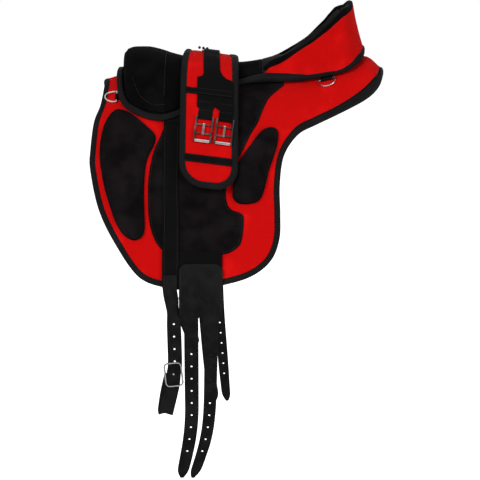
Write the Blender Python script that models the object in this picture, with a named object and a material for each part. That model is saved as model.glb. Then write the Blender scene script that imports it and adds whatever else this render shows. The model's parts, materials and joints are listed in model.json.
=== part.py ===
"""Treeless saddle with its girth laid over the seat.

Metres, +Z up.  +X runs to the cantle, -Y is the near side.  The origin is on the
spine line, at the underside of the panels below the deepest part of the seat.
Soft layers are drawn flat as patterns (x along the saddle, t round the back from
the spine, h above the underside) and then laid on the curve of the back.
"""

import math

import bmesh
import bpy
import numpy as np
from mathutils import Matrix, Vector

# Shape of the back
BACK_SLOPE = math.radians(76)
BACK_SPREAD = 0.105
REAR_RISE = 0.020

# Panels and flaps
HALF_LENGTH = 0.295
FLAP_DROP = 0.466
PANEL_THICKNESS = 0.020
FLAP_STEP = 0.010
REAR_SWELL = 0.025
CHANNEL_HALF_WIDTH = 0.028
LINING = 0.0012
COVER = 0.0015
BINDING_WIDTH = 0.012
BINDING_PROUD = 0.0010
SPINE_STRIP = 0.006

# Clearances
GAP = 0.0003
EDGE_GAP = 0.0006
STRAP_APART = 0.00218
BLOCK_GAP = 0.0008

# Overlay, blocks and seat layers, each a thickness
OVERLAY = 0.0016
BLOCK_THICKNESS = 0.016
SEAT_BASE = 0.0032
SKIRT = 0.0025
SKIRT_BINDING_HEIGHT = 0.0060
SEAT_INSET = 0.015

# Seat heights above the underside
POMMEL_HEIGHT = 0.081
CANTLE_HEIGHT = 0.158
CANTLE_LEAN = 0.13
CANTLE_PANEL = 0.0016
RIM_WIDTH = 0.014

# Stirrup strap
STIRRUP_WEB_WIDTH = 0.031
STIRRUP_WEB = 0.0022
STIRRUP_WEB_SHORT = 0.004
STIRRUP_LEATHER_WIDTH = 0.028
STIRRUP_LEATHER = 0.0032
STIRRUP_OVERLAP = 0.024
STIRRUP_LOOP_GAP = 0.0056
STIRRUP_HOLE_DROP = 0.071
STIRRUP_BUCKLE_DROP = 0.101
STIRRUP_LOOP_DROP = 0.087
STIRRUP_BUCKLE_WIDTH = 0.036
STIRRUP_BUCKLE_HEIGHT = 0.050
STIRRUP_WIRE = 0.0034

# Billets
BILLET_WEB = 0.0020
PLATE = 0.0035
PLATE_WIDTH = 0.085
PLATE_OVERLAP = 0.050
PLATE_REACH = 0.018
PLATE_DROP = 0.074
BILLET_WEB_OVERLAP = 0.009
BILLET_WIDTH = 0.028
BILLET_SPACING = 0.038
BILLET_LENGTH = 0.331
HOLE = 0.005
HOLE_PITCH = 0.025
HOLE_FIRST_BELOW_PLATE = 0.072
HOLE_COUNT = 9

# Dees on the saddle
DEE_WIRE = 0.003
FRONT_DEE_WIDTH = 0.031
FRONT_DEE_DEPTH = 0.026
REAR_DEE_WIDTH = 0.038
REAR_DEE_DEPTH = 0.020
REAR_DEE_DROP = 0.007
CHAPE_WALL = 0.0012
CHAPE_LENGTH = 0.012
FRONT_CHAPE_WIDTH = 0.014
REAR_CHAPE_WIDTH = 0.024
PIVOT_PLAY = 0.00035

# Girth
GIRTH_WIDTH = 0.115
GIRTH_HALF_LENGTH = 0.337
GIRTH_CORNER = 0.046
GIRTH_BODY = 0.009
GIRTH_BINDING_WIDTH = 0.0135
GIRTH_BINDING_PROUD = 0.0012
GIRTH_COURSE_WIDTH = 0.212
GIRTH_COURSE_HEIGHT = 0.263
GIRTH_TILT = math.tan(math.radians(7.1))
STRAP_SHIFT = 0.0125
STRAP = 0.0020
STRAP_NECK = 0.030
STRAP_WIDTH = 0.036
STRAP_WIDE = 0.067
STRAP_START = 0.012
STRAP_END = 0.176
KEEPER = 0.0014
KEEPER_WIDTH = 0.014
KEEPER_CENTRE = 0.140
BUCKLE_SPACING = 0.0405
BUCKLE_WIDTH = 0.035
BUCKLE_LENGTH = 0.053
BUCKLE_BAR = 0.0028
BUCKLE_TOP = 0.197
TONGUE_WIDTH = 0.004
TONGUE_THICKNESS = 0.0017
TAB_WIDTH = 0.0265
TAB_WALL = 0.0015
ROLLER_WALL = 0.0011
RING_WIDTH = 0.038
RING_DEPTH = 0.020
RING_WIRE = 0.0034

# Places along the saddle, as shares of HALF_LENGTH, and down the flap, as shares of FLAP_DROP
PLATE_PLACE_SHARE = -0.25
GIRTH_PLACE_SHARE = -0.202
REAR_DEE_PLACE_SHARE = 0.59
FRONT_DEE_PLACE_SHARE = 0.182
POMMEL_END_SHARE = -0.4915
CANTLE_START_SHARE = 0.1525
RIM_START_SHARE = 0.24
RIM_FULL_SHARE = 0.5
RIM_LEAST_SHARE = 0.3
LEAN_START_SHARE = 0.54
LEAN_FULL_SHARE = 0.8

# Places where the folds of the patterns lie, as shares
T_STATION_SHARES = (0, 0.022, 0.045, 0.071, 0.099, 0.129, 0.161, 0.197, 0.24, 0.294, 0.365,
                    0.461, 0.59, 0.74, 0.89, 1.03)
X_STATION_SHARES = (-1.0, -0.93, -0.885, -0.847, 0, 0.203, 0.373, 0.542, 0.678, 0.797, 0.875,
                    0.915, 0.942, 1.0)
FRONT_THICKNESS_SHARES = (0.5, 0.52, 0.85, 1, 1, 1, 1, 1, 1, 1, 1, 1, 1, 1)
REAR_SWELL_SHARES = (0, 0, 0, 0, 0, 0, 0.1, 0.4, 0.75, 1, 1, 0.75, 0.3, -0.4)
SIDE_SWELL_SHARES = (1, 1, 1, 1, 1, 1, 0.75, 0.4, 0.15, 0, 0, 0, 0, 0, 0, 0)
FLAP_STEP_SHARES = (0, 0, 0, 0, 0, 0, 0, 0, 0, 0, 0.5, 1, 1, 1, 1, 1)

# Near half of each outline, as shares of HALF_LENGTH along and FLAP_DROP down
PANEL_SHARES = ((-0.953, 0), (-0.936, 0.082), (-0.936, 0.193), (-0.973, 0.279), (-0.993, 0.408),
                (-0.993, 0.491), (-0.936, 0.661), (-0.82, 0.809), (-0.668, 0.944), (-0.505, 0.989),
                (-0.322, 1), (-0.102, 0.976), (0.081, 0.938), (0.207, 0.878), (0.261, 0.792),
                (0.268, 0.687), (0.264, 0.564), (0.292, 0.44), (0.403, 0.354), (0.661, 0.275),
                (0.864, 0.208), (0.963, 0.139), (0.99, 0.064), (1, 0))
OVERLAY_SHARES = ((-0.481, 0.288), (-0.525, 0.354), (-0.576, 0.438), (-0.6, 0.528), (-0.603, 0.594),
                  (-0.597, 0.695), (-0.566, 0.777), (-0.508, 0.833), (-0.397, 0.861),
                  (-0.112, 0.854), (-0.007, 0.822), (0.02, 0.783), (0.031, 0.717), (0.02, 0.685),
                  (-0.051, 0.667), (-0.082, 0.635), (-0.085, 0.584), (-0.034, 0.483), (0.017, 0.427),
                  (0.071, 0.356), (0.122, 0.3), (0.186, 0.2), (0.244, 0.155), (0.302, 0.12))
KNEE_SHARES = ((-0.831, 0.262), (-0.898, 0.322), (-0.919, 0.427), (-0.905, 0.511), (-0.881, 0.586),
               (-0.851, 0.652), (-0.817, 0.712), (-0.769, 0.764), (-0.719, 0.788), (-0.681, 0.792),
               (-0.644, 0.779), (-0.627, 0.751), (-0.627, 0.702), (-0.634, 0.592), (-0.627, 0.498),
               (-0.61, 0.448), (-0.576, 0.399), (-0.569, 0.371), (-0.586, 0.35), (-0.644, 0.322),
               (-0.708, 0.29), (-0.763, 0.27))
THIGH_SHARES = ((0.217, 0.328), (0.254, 0.339), (0.261, 0.365), (0.254, 0.414), (0.231, 0.461),
                (0.207, 0.506), (0.186, 0.558), (0.163, 0.605), (0.125, 0.633), (0.058, 0.642),
                (-0.003, 0.639), (-0.034, 0.622), (-0.041, 0.599), (-0.031, 0.539), (-0.014, 0.491),
                (0.02, 0.448), (0.078, 0.401), (0.139, 0.354), (0.176, 0.335))
SEAT_SHARES = ((-0.851, 0), (-0.844, 0.097), (-0.82, 0.187), (-0.786, 0.23), (-0.739, 0.255),
               (-0.681, 0.275), (-0.603, 0.292), (-0.529, 0.298), (-0.468, 0.292), (-0.383, 0.27),
               (-0.254, 0.21), (-0.136, 0.163), (-0.024, 0.133), (0.051, 0.122), (0.166, 0.118),
               (0.302, 0.122), (0.451, 0.122), (0.546, 0.118), (0.644, 0.101), (0.746, 0.073),
               (0.814, 0.045), (0.844, 0.02), (0.854, 0))
BASE_SHARES = ((-0.75, 0), (-0.742, 0.1), (-0.72, 0.16), (-0.68, 0.195), (-0.6, 0.215), (-0.38, 0.2),
               (-0.25, 0.145), (-0.13, 0.1), (0, 0.072), (0.16, 0.065), (0.45, 0.065), (0.6, 0.06),
               (0.69, 0.04), (0.73, 0))

# Heights of the seat along the saddle: place as a share of HALF_LENGTH, then a share of height
CROWN_PLACE_SHARES = (-0.81, -0.8, -0.775, -0.72, -0.645, -0.56, -0.475, -0.37, -0.2, 0,
                      0.136, 0.27, 0.41, 0.54, 0.645, 0.73, 0.81)
POMMEL_CROWN_SHARES = (0.5, 0.72, 0.9, 0.98, 1, 0.95, 0.87, 0.77, 0.65, 0.58, 0.6, 0.67, 0.73,
                       0.84, 1.01, 1.28, 1.75)
WALL_PLACE_SHARES = (-0.81, -0.2, 0.15, 0.26, 0.35, 0.45, 0.54, 0.635, 0.71, 0.81)
WALL_SHARES = (0.225, 0.22, 0.225, 0.31, 0.43, 0.58, 0.71, 0.84, 0.93, 1)
CROWN_POWER = 2.6

# Course of the girth over the seat, as shares of GIRTH_COURSE_WIDTH and GIRTH_COURSE_HEIGHT
GIRTH_COURSE_SHARES = ((0, 0), (0.212, 0.019), (0.387, 0.099), (0.5, 0.213), (0.646, 0.392),
                       (0.792, 0.601), (0.925, 0.829), (0.972, 0.932), (1.02, 1.06))
GIRTH_STATION_SHARES = (0, 0.05, 0.1, 0.155, 0.215, 0.285, 0.36, 0.44, 0.5, 0.74, 0.88, 1.03)

# Colours: linear red, green, blue
RED_MESH = (0.56, 0.006, 0.006)
BLACK_SUEDE = (0.006, 0.005, 0.005)
BLACK_TAPE = (0.009, 0.009, 0.010)
BLACK_LEATHER = (0.014, 0.014, 0.015)
GREY_FELT = (0.10, 0.10, 0.10)
FOAM_WHITE = (0.55, 0.52, 0.45)
NICKEL = (0.62, 0.60, 0.57)

T_STATIONS = [share * FLAP_DROP for share in T_STATION_SHARES]
X_STATIONS = [share * HALF_LENGTH for share in X_STATION_SHARES]
PLATE_X = PLATE_PLACE_SHARE * HALF_LENGTH
STIRRUP_X = PLATE_X - PLATE_WIDTH / 2 - STRAP_APART - STIRRUP_WEB_WIDTH / 2
GIRTH_X = GIRTH_PLACE_SHARE * HALF_LENGTH
REAR_DEE_X = REAR_DEE_PLACE_SHARE * HALF_LENGTH
FRONT_DEE_T = FRONT_DEE_PLACE_SHARE * FLAP_DROP
POMMEL_END = POMMEL_END_SHARE * HALF_LENGTH
CANTLE_START = CANTLE_START_SHARE * HALF_LENGTH
STIRRUP_WEB_END = FLAP_DROP - STIRRUP_WEB_SHORT
PLATE_TOP = FLAP_DROP - PLATE_OVERLAP
PLATE_BEND = FLAP_DROP - PLATE_REACH
BILLET_WEB_TOP = max(t for x, t in OVERLAY_SHARES) * FLAP_DROP - BILLET_WEB_OVERLAP


def clear_scene():
    """Remove what the file holds and make the two collections."""
    for old in list(bpy.data.objects):
        bpy.data.objects.remove(old, do_unlink=True)
    for name in ("treeless_saddle", "cutters"):
        group = bpy.data.collections.new(name)
        bpy.context.scene.collection.children.link(group)


def material(name, colour, roughness, metallic):
    """Make a Principled material."""
    made = bpy.data.materials.new(name)
    made.use_nodes = True
    shader = made.node_tree.nodes["Principled BSDF"]
    shader.inputs["Base Color"].default_value = (*colour, 1)
    shader.inputs["Roughness"].default_value = roughness
    shader.inputs["Metallic"].default_value = metallic
    return made


def back_tables():
    """Integrate the slope of the back into width and fall at each station."""
    steps = 2400
    arc = np.linspace(0, T_STATIONS[-1], steps)
    slope = BACK_SLOPE * (1 - np.exp(-arc / BACK_SPREAD))
    stride = arc[1]
    width = np.concatenate(([0], np.cumsum(np.cos(slope[:-1]) * stride)))
    fall = np.concatenate(([0], np.cumsum(np.sin(slope[:-1]) * stride)))
    at = [np.interp(T_STATIONS, arc, table) for table in (width, fall, slope)]
    return list(zip(*at))


BACK = back_tables()
RISE = [REAR_RISE * (max(x, 0) / HALF_LENGTH) ** 2 for x in X_STATIONS]


def place(x, t, h):
    """Lay a point of a pattern on the back: near side for t above 0."""
    run = min(abs(t), T_STATIONS[-1] * 0.9999)
    index = max(i for i, station in enumerate(T_STATIONS) if station <= run)
    share = (run - T_STATIONS[index]) / (T_STATIONS[index + 1] - T_STATIONS[index])
    ends = []
    for width, fall, slope in BACK[index:index + 2]:
        ends.append(Vector((width + h * math.sin(slope), h * math.cos(slope) - fall)))
    spot = ends[0].lerp(ends[1], share)
    side = -1 if t > 0 else 1
    return Vector((x, side * spot[0], spot[1] + float(np.interp(x, X_STATIONS, RISE))))


def foam_top(x, t):
    """Height of the foam's upper face."""
    front = np.interp(x, X_STATIONS, FRONT_THICKNESS_SHARES)
    rear = np.interp(x, X_STATIONS, REAR_SWELL_SHARES)
    side = np.interp(abs(t), T_STATIONS, SIDE_SWELL_SHARES)
    return float(PANEL_THICKNESS * front + REAR_SWELL * rear * side)


def underside(x, t):
    """Height of the lining's lower face: the flap is thinner than the panel."""
    front = np.interp(x, X_STATIONS, FRONT_THICKNESS_SHARES)
    room = PANEL_THICKNESS * front - (PANEL_THICKNESS - FLAP_STEP)
    return float(max(room, 0) * np.interp(abs(t), T_STATIONS, FLAP_STEP_SHARES))


def above(*layers):
    """Make a height function that stands the given thicknesses above the foam."""
    total = sum(layers)
    return lambda x, t: foam_top(x, t) + total


def on_foam(x, t, h):
    """Lay a point at a height above the foam."""
    return place(x, t, foam_top(x, t) + h)


COVER_TOP = GAP + COVER
OVERLAY_TOP = COVER_TOP + GAP + OVERLAY
BASE_LOW = OVERLAY_TOP + GAP
BASE_TOP = BASE_LOW + SEAT_BASE
SKIRT_LOW = BASE_TOP + GAP
SKIRT_TOP = SKIRT_LOW + SKIRT
CUSHION_LOW = SKIRT_TOP + GAP
SKIRT_BINDING_LOW = SKIRT_LOW - GAP - GAP
PLATE_LOW = BASE_LOW + BILLET_WEB + GAP
PLATE_MIDDLE = PLATE_LOW + PLATE / 2
LEATHER_MIDDLE = BASE_LOW + STIRRUP_WEB + GAP + STIRRUP_LEATHER / 2


def seat_crown(x):
    """Height of the seat's centre line along the saddle."""
    return float(POMMEL_HEIGHT * np.interp(x / HALF_LENGTH, CROWN_PLACE_SHARES, POMMEL_CROWN_SHARES))


GIRTH_RIDGE = seat_crown(GIRTH_X - GIRTH_WIDTH / 2) - GIRTH_TILT * GIRTH_WIDTH / 2 + EDGE_GAP
HINGE_T = max(t for x, t in SEAT_SHARES) * FLAP_DROP + EDGE_GAP + STIRRUP_WEB / 2
BASE_THICK_TO = T_STATIONS[7] + GAP


def smooth(points, spacing, closed=True):
    """Pass a Catmull-Rom curve through the points and sample it about every spacing."""
    count = len(points)
    result = []
    spans = count if closed else count - 1
    for i in range(spans):
        picked = []
        for step in (-1, 0, 1, 2):
            j = i + step
            picked.append(Vector(points[j % count] if closed else points[min(max(j, 0), count - 1)]))
        a, b, c, d = picked
        parts = max(1, round((c - b).length / spacing))
        for k in range(parts):
            u = k / parts
            result.append(0.5 * (2 * b + (c - a) * u + (2 * a - 5 * b + 4 * c - d) * u * u
                                 + (3 * b - a - 3 * c + d) * u * u * u))
    if not closed:
        result.append(Vector(points[-1]))
    return result


def sized(shares):
    """Turn shares of an outline into places on the pattern."""
    return [(x * HALF_LENGTH, t * FLAP_DROP) for x, t in shares]


def both_sides(half):
    """Close a near half outline with its mirror image."""
    mirrored = [(x, -t) for x, t in reversed(half) if t > 0]
    return half + mirrored


def inset(points, distance, closed=True):
    """Move an outline or a path inwards, to the right of its travel for a near half."""
    count = len(points)
    moved = []
    for i, point in enumerate(points):
        before = points[(i - 1) % count] if closed else points[max(i - 1, 0)]
        after = points[(i + 1) % count] if closed else points[min(i + 1, count - 1)]
        along = (Vector(after) - Vector(before)).normalized()
        moved.append(Vector(point) + distance * Vector((along[1], -along[0])))
    return moved


def link(mesh, name, look, origin):
    """Put a mesh in the scene as an object whose origin is given."""
    mesh.name = name
    mesh.materials.clear()
    mesh.materials.append(look)
    made = bpy.data.objects.new(name, mesh)
    made.location = origin
    bpy.data.collections["treeless_saddle"].objects.link(made)
    return made


def finish(bm, name, look, origin=(0, 0, 0)):
    """Turn a bmesh in world places into an object."""
    bmesh.ops.recalc_face_normals(bm, faces=bm.faces)
    if bm.calc_volume(signed=True) < 0:
        bmesh.ops.reverse_faces(bm, faces=bm.faces)
    bmesh.ops.translate(bm, verts=bm.verts, vec=-Vector(origin))
    mesh = bpy.data.meshes.new(name)
    bm.to_mesh(mesh)
    bm.free()
    return link(mesh, name, look, origin)


def mirror(near, name):
    """Copy a near piece to the off side."""
    bm = bmesh.new()
    bm.from_mesh(near.data)
    for vert in bm.verts:
        vert.co.y = -vert.co.y
    bmesh.ops.reverse_faces(bm, faces=bm.faces)
    mesh = bpy.data.meshes.new(name)
    bm.to_mesh(mesh)
    bm.free()
    here = near.location
    return link(mesh, name, near.data.materials[0], (here.x, -here.y, here.z))


def flip(piece):
    """Turn a piece built on the near side into its off side form."""
    for vert in piece.data.vertices:
        vert.co.y = -vert.co.y
    piece.data.flip_normals()
    piece.location.y = -piece.location.y


def flat_faces(bm, outline, ring_shares=()):
    """Fill an outline with one face, or with rings round a middle face."""
    centre = sum((Vector(p) for p in outline), Vector((0, 0))) / len(outline)
    loops = []
    for share in (1, *ring_shares):
        loop = [centre + (Vector(p) - centre) * share for p in outline]
        loops.append([bm.verts.new((p[0], p[1], 0)) for p in loop])
    for outer, inner in zip(loops, loops[1:]):
        for i in range(len(outer)):
            j = (i + 1) % len(outer)
            bm.faces.new((outer[i], outer[j], inner[j], inner[i]))
    bm.faces.new(loops[-1])


def cut(bm, spot, normal, clear=False):
    """Cut flat faces along a line, and clear what lies past it if asked."""
    everything = list(bm.verts) + list(bm.edges) + list(bm.faces)
    bmesh.ops.bisect_plane(bm, geom=everything, dist=GAP / 1000, plane_co=spot, plane_no=normal,
                           clear_outer=clear)


def layer(name, look, outline, low, high, lay=place, t_cuts=T_STATIONS, x_cuts=X_STATIONS,
          t_from=None, t_to=None, x_from=None, x_to=None, ring_shares=()):
    """Cut a pattern from a sheet and lay it: low and high give its two faces."""
    bm = bmesh.new()
    flat_faces(bm, outline, ring_shares)
    limits = ((t_from, (0, -1, 0)), (t_to, (0, 1, 0)), (x_from, (-1, 0, 0)), (x_to, (1, 0, 0)))
    for limit, normal in limits:
        if limit is not None:
            cut(bm, Vector(normal) * limit * sum(normal), normal, clear=True)
    for station in t_cuts:
        cut(bm, (0, station, 0), (0, 1, 0))
        if station > 0:
            cut(bm, (0, -station, 0), (0, 1, 0))
    for station in x_cuts:
        cut(bm, (station, 0, 0), (1, 0, 0))
    bmesh.ops.triangulate(bm, faces=bm.faces)
    lifted = bmesh.ops.extrude_face_region(bm, geom=list(bm.faces), use_keep_orig=True)
    upper = {item for item in lifted["geom"] if isinstance(item, bmesh.types.BMVert)}
    for vert in bm.verts:
        x, t, _ = vert.co
        height = high if vert in upper else low
        vert.co = lay(x, t, height(x, t))
    return finish(bm, name, look)


def loft(sections, closed=False):
    """Skin a row of sections, each a ring of points, and cap the ends of an open row."""
    bm = bmesh.new()
    rings = [[bm.verts.new(point) for point in section] for section in sections]
    around = len(rings[0])
    spans = len(rings) if closed else len(rings) - 1
    for i in range(spans):
        here = rings[i]
        there = rings[(i + 1) % len(rings)]
        for k in range(around):
            n = (k + 1) % around
            bm.faces.new((here[k], here[n], there[n], there[k]))
    if not closed:
        bm.faces.new(rings[0])
        bm.faces.new(rings[-1])
    bmesh.ops.triangulate(bm, faces=bm.faces)
    return bm


def rolled_edge(name, look, path, width, low, high, lay=place, closed=True, sides=6):
    """Run a rounded band along a path on the pattern."""
    sections = []
    count = len(path)
    full = 1 if sides % 4 == 2 else math.cos(math.pi / sides)
    for i, point in enumerate(path):
        before = path[(i - 1) % count] if closed else path[max(i - 1, 0)]
        after = path[(i + 1) % count] if closed else path[min(i + 1, count - 1)]
        along = (after - before).normalized()
        across = Vector((along[1], -along[0]))
        bottom = low(*point)
        top = high(*point)
        section = []
        for k in range(sides):
            turn = math.tau * (k + 0.5) / sides
            spot = point + across * (width / 2 * math.cos(turn) / math.cos(math.pi / sides))
            lift = (bottom + top) / 2 + (top - bottom) / 2 * math.sin(turn) / full
            section.append(lay(spot[0], spot[1], lift))
        sections.append(section)
    return finish(loft(sections, closed), name, look)


def ribbon(name, look, centres, normals, widths, thickness, origin, round_top=False):
    """Run a flat strap through its centres; each normal points out of its face."""
    sections = []
    half = thickness / 2
    for i, centre in enumerate(centres):
        before = centres[max(i - 1, 0)]
        after = centres[min(i + 1, len(centres) - 1)]
        along = (after - before).normalized()
        across = along.cross(normals[i]).normalized()
        out = across.cross(along).normalized()
        steps = [(0, 1)]
        if round_top and i == 0:
            steps = [(1 - math.cos(math.radians(a)), math.sin(math.radians(a))) for a in (15, 45, 90)]
        for run, share in steps:
            middle = centre + along * half * run
            wide = across * widths[i] / 2
            thick = out * half * share
            sections.append((middle - wide - thick, middle + wide - thick,
                             middle + wide + thick, middle - wide + thick))
    return finish(loft(sections), name, look, origin)


def from_curve(curve, matrix, name, look, origin):
    """Turn a curve into a closed mesh object."""
    temporary = bpy.data.objects.new(name, curve)
    bpy.context.scene.collection.objects.link(temporary)
    evaluated = temporary.evaluated_get(bpy.context.evaluated_depsgraph_get())
    mesh = bpy.data.meshes.new_from_object(evaluated)
    bm = bmesh.new()
    bm.from_mesh(mesh)
    bmesh.ops.remove_doubles(bm, verts=bm.verts, dist=GAP / 30)
    bmesh.ops.triangulate(bm, faces=bm.faces)
    bmesh.ops.transform(bm, matrix=matrix, verts=bm.verts)
    bpy.data.objects.remove(temporary, do_unlink=True)
    return finish(bm, name, look, origin)


def outline_solid(name, look, loops, thickness, matrix, origin):
    """Extrude flat closed loops, holes included, about the plane of the matrix."""
    curve = bpy.data.curves.new(name, "CURVE")
    curve.dimensions = "2D"
    curve.fill_mode = "BOTH"
    curve.extrude = thickness / 2
    for loop in loops:
        spline = curve.splines.new("POLY")
        spline.points.add(len(loop) - 1)
        for point, spot in zip(spline.points, loop):
            point.co = (spot[0], spot[1], 0, 1)
        spline.use_cyclic_u = True
    return from_curve(curve, matrix, name, look, origin)


def wire(name, look, points, diameter, matrix, origin, closed=True):
    """Bend a round wire through points of a flat drawing or of space."""
    curve = bpy.data.curves.new(name, "CURVE")
    curve.dimensions = "3D"
    curve.bevel_depth = diameter / 2
    curve.bevel_resolution = 1
    curve.use_fill_caps = not closed
    spline = curve.splines.new("POLY")
    spline.points.add(len(points) - 1)
    for point, spot in zip(spline.points, points):
        point.co = (*spot, 1)
    spline.use_cyclic_u = closed
    return from_curve(curve, matrix, name, look, origin)


def arc(centre, radius, start, end, count):
    """Points of an arc in a drawing, with angles in degrees."""
    points = []
    for k in range(count + 1):
        turn = math.radians(start + (end - start) * k / count)
        points.append(Vector(centre) + radius * Vector((math.cos(turn), math.sin(turn))))
    return points


def box_loop(left, right, low, high):
    """Four corners of a window in a drawing."""
    return [(left, low), (right, low), (right, high), (left, high)]


def tab(name, look, width, bar, wall, strip, matrix, origin):
    """A strip folded round a bar: the bar lies on the origin of the matrix, along X."""
    inner = bar / 2 + PIVOT_PLAY
    outer = inner + wall
    meet = math.degrees(math.asin((outer - wall) / outer))
    profile = [(strip, wall - outer), (strip, -outer)] + arc((0, 0), outer, -90, -360 - meet, 14)
    loops = [profile, arc((0, 0), inner, 0, 330, 11)]
    upright = matrix @ Matrix(((0, 0, 1, 0), (1, 0, 0, 0), (0, 1, 0, 0), (0, 0, 0, 1)))
    return outline_solid(name, look, loops, width, upright, origin)


def frame_on(lay, x, t, h):
    """Axes on a laid surface: X along the saddle, Y up it, Z out of it."""
    step = GAP
    spot = lay(x, t, h)
    along = (lay(x + step, t, h) - lay(x - step, t, h)).normalized()
    down = (lay(x, t + step, h) - lay(x, t - step, h)).normalized()
    out = along.cross(-down).normalized()
    up = out.cross(along)
    axes = Matrix((along, up, out)).transposed().to_4x4()
    return Matrix.Translation(spot) @ axes


def unite(main, others):
    """Join pieces that are sewn or welded into one solid."""
    for other in others:
        bpy.data.collections["treeless_saddle"].objects.unlink(other)
        bpy.data.collections["cutters"].objects.link(other)
        other.display_type = "WIRE"
        other.hide_render = True
        union = main.modifiers.new("union", "BOOLEAN")
        union.operation = "UNION"
        union.object = other


def punch(piece, centres, name):
    """Cut round holes through a strap, across its face."""
    bm = bmesh.new()
    for centre in centres:
        turned = Matrix.Translation(centre) @ Matrix.Rotation(math.pi / 2, 4, "X")
        bmesh.ops.create_cone(bm, cap_ends=True, segments=8, radius1=HOLE / 2, radius2=HOLE / 2,
                              depth=HOLE * 4, matrix=turned)
    mesh = bpy.data.meshes.new(name)
    bm.to_mesh(mesh)
    bm.free()
    cutter = bpy.data.objects.new(name, mesh)
    cutter.display_type = "WIRE"
    cutter.hide_render = True
    bpy.data.collections["cutters"].objects.link(cutter)
    holes = piece.modifiers.new("holes", "BOOLEAN")
    holes.operation = "DIFFERENCE"
    holes.object = cutter


def build_panels(looks):
    """Foam panels with cover, lining, edge binding and the strip between them."""
    edge = smooth(both_sides(sized(PANEL_SHARES)), BINDING_WIDTH * 2.7)
    body = inset(edge, BINDING_WIDTH + EDGE_GAP)
    beside = {"near": {"t_from": CHANNEL_HALF_WIDTH + GAP}, "off": {"t_to": -CHANNEL_HALF_WIDTH - GAP}}
    for side in ("near", "off"):
        layer(f"{side}_panel_foam", looks["foam"], body,
              lambda x, t: underside(x, t) + LINING + GAP, foam_top, **beside[side])
        layer(f"{side}_panel_lining", looks["suede"], body, underside,
              lambda x, t: underside(x, t) + LINING, **beside[side])
    layer("panel_cover", looks["red"], body, above(GAP), above(COVER_TOP))
    layer("spine_strip", looks["felt"], body, above(-SPINE_STRIP - GAP), above(-GAP),
          t_from=-CHANNEL_HALF_WIDTH, t_to=CHANNEL_HALF_WIDTH)
    rolled_edge("panel_binding", looks["tape"], inset(edge, BINDING_WIDTH / 2), BINDING_WIDTH,
                lambda x, t: underside(x, t) - BINDING_PROUD, above(COVER_TOP, BINDING_PROUD))


def build_overlay(looks):
    """Suede overlay that runs down both flaps from under the seat."""
    half = sized(OVERLAY_SHARES)
    half = [tuple(p) for p in smooth(half, BINDING_WIDTH * 2, closed=False)]
    whole = both_sides(half)
    layer("suede_overlay", looks["suede"], whole, above(COVER_TOP, GAP), above(OVERLAY_TOP))


def build_blocks(looks):
    """Padded knee and thigh blocks, low at the edge and crowned."""
    ring_shares = (0.92, 0.74)
    crown_shares = ((0.74, 1), (0.92, 0.8), (1, 0.42))
    for name, shares in (("knee_block", KNEE_SHARES), ("thigh_block", THIGH_SHARES)):
        outline = smooth(sized(shares), BINDING_WIDTH * 2)
        centre = sum(outline, Vector((0, 0))) / len(outline)

        def crown(x, t, centre=centre, outline=outline):
            """Height of the block over one point, from how near it is to the edge."""
            reach = edge_share(Vector((x, t)), centre, outline)
            lift = np.interp(reach, *zip(*crown_shares))
            return foam_top(x, t) + COVER_TOP + BLOCK_GAP + BLOCK_THICKNESS * float(lift)

        block = layer(f"near_{name}", looks["suede"], outline, above(COVER_TOP, BLOCK_GAP), crown,
                      ring_shares=ring_shares)
        mirror(block, f"off_{name}")


def edge_share(point, centre, outline):
    """How far a point lies from the centre towards the outline, from 0 to 1."""
    ray = point - centre
    best = 0
    for i, start in enumerate(outline):
        end = outline[(i + 1) % len(outline)]
        side = end - start
        cross = ray.cross(side)
        if abs(cross) > 1e-12:
            distance = (start - centre).cross(side) / cross
            along = (start - centre).cross(ray) / cross
            if distance > 0 and -1e-6 <= along <= 1 + 1e-6:
                best = max(best, 1 / distance)
    return min(best, 1)


def seat_half_width(outline):
    """Table of the half width of the seat cushions along the saddle."""
    near = sorted((p[0], p[1]) for p in outline if p[1] >= 0)
    return [p[0] for p in near], [p[1] for p in near]


def lean(x, t, h):
    """Lay a point of the cantle, which leans forward at its back."""
    span = LEAN_FULL_SHARE - LEAN_START_SHARE
    share = min(max((x / HALF_LENGTH - LEAN_START_SHARE) / span, 0), 1)
    return place(x - CANTLE_LEAN * share * (h - PANEL_THICKNESS - REAR_SWELL), t, h)


def wall_height(x, t):
    """Height of the seat's edge along the saddle."""
    shares = np.interp(x, [p * HALF_LENGTH for p in WALL_PLACE_SHARES], WALL_SHARES)
    return float(CANTLE_HEIGHT * shares)


def base_outline():
    """Outline of the seat base, with a tongue on each side that the stirrup web is sewn to."""
    left = STIRRUP_X - STIRRUP_WEB_WIDTH / 2
    right = STIRRUP_X + STIRRUP_WEB_WIDTH / 2
    near = sized(BASE_SHARES)
    beside = [float(np.interp(x, [p[0] for p in near], [p[1] for p in near])) for x in (left, right)]
    end = HINGE_T - STIRRUP_WEB / 2 - GAP
    tongue = [(left, beside[0]), (left, end), (right, end), (right, beside[1])]
    half = [tuple(p) for p in near if p[0] < left]
    half += tongue + [tuple(p) for p in near if p[0] > right]
    return both_sides(half)


def base_high(x, t):
    """Upper face of the seat base, thinner at its tongues."""
    thin = abs(t) > BASE_THICK_TO
    return foam_top(x, t) + BASE_LOW + (STIRRUP_WEB if thin else SEAT_BASE)


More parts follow.
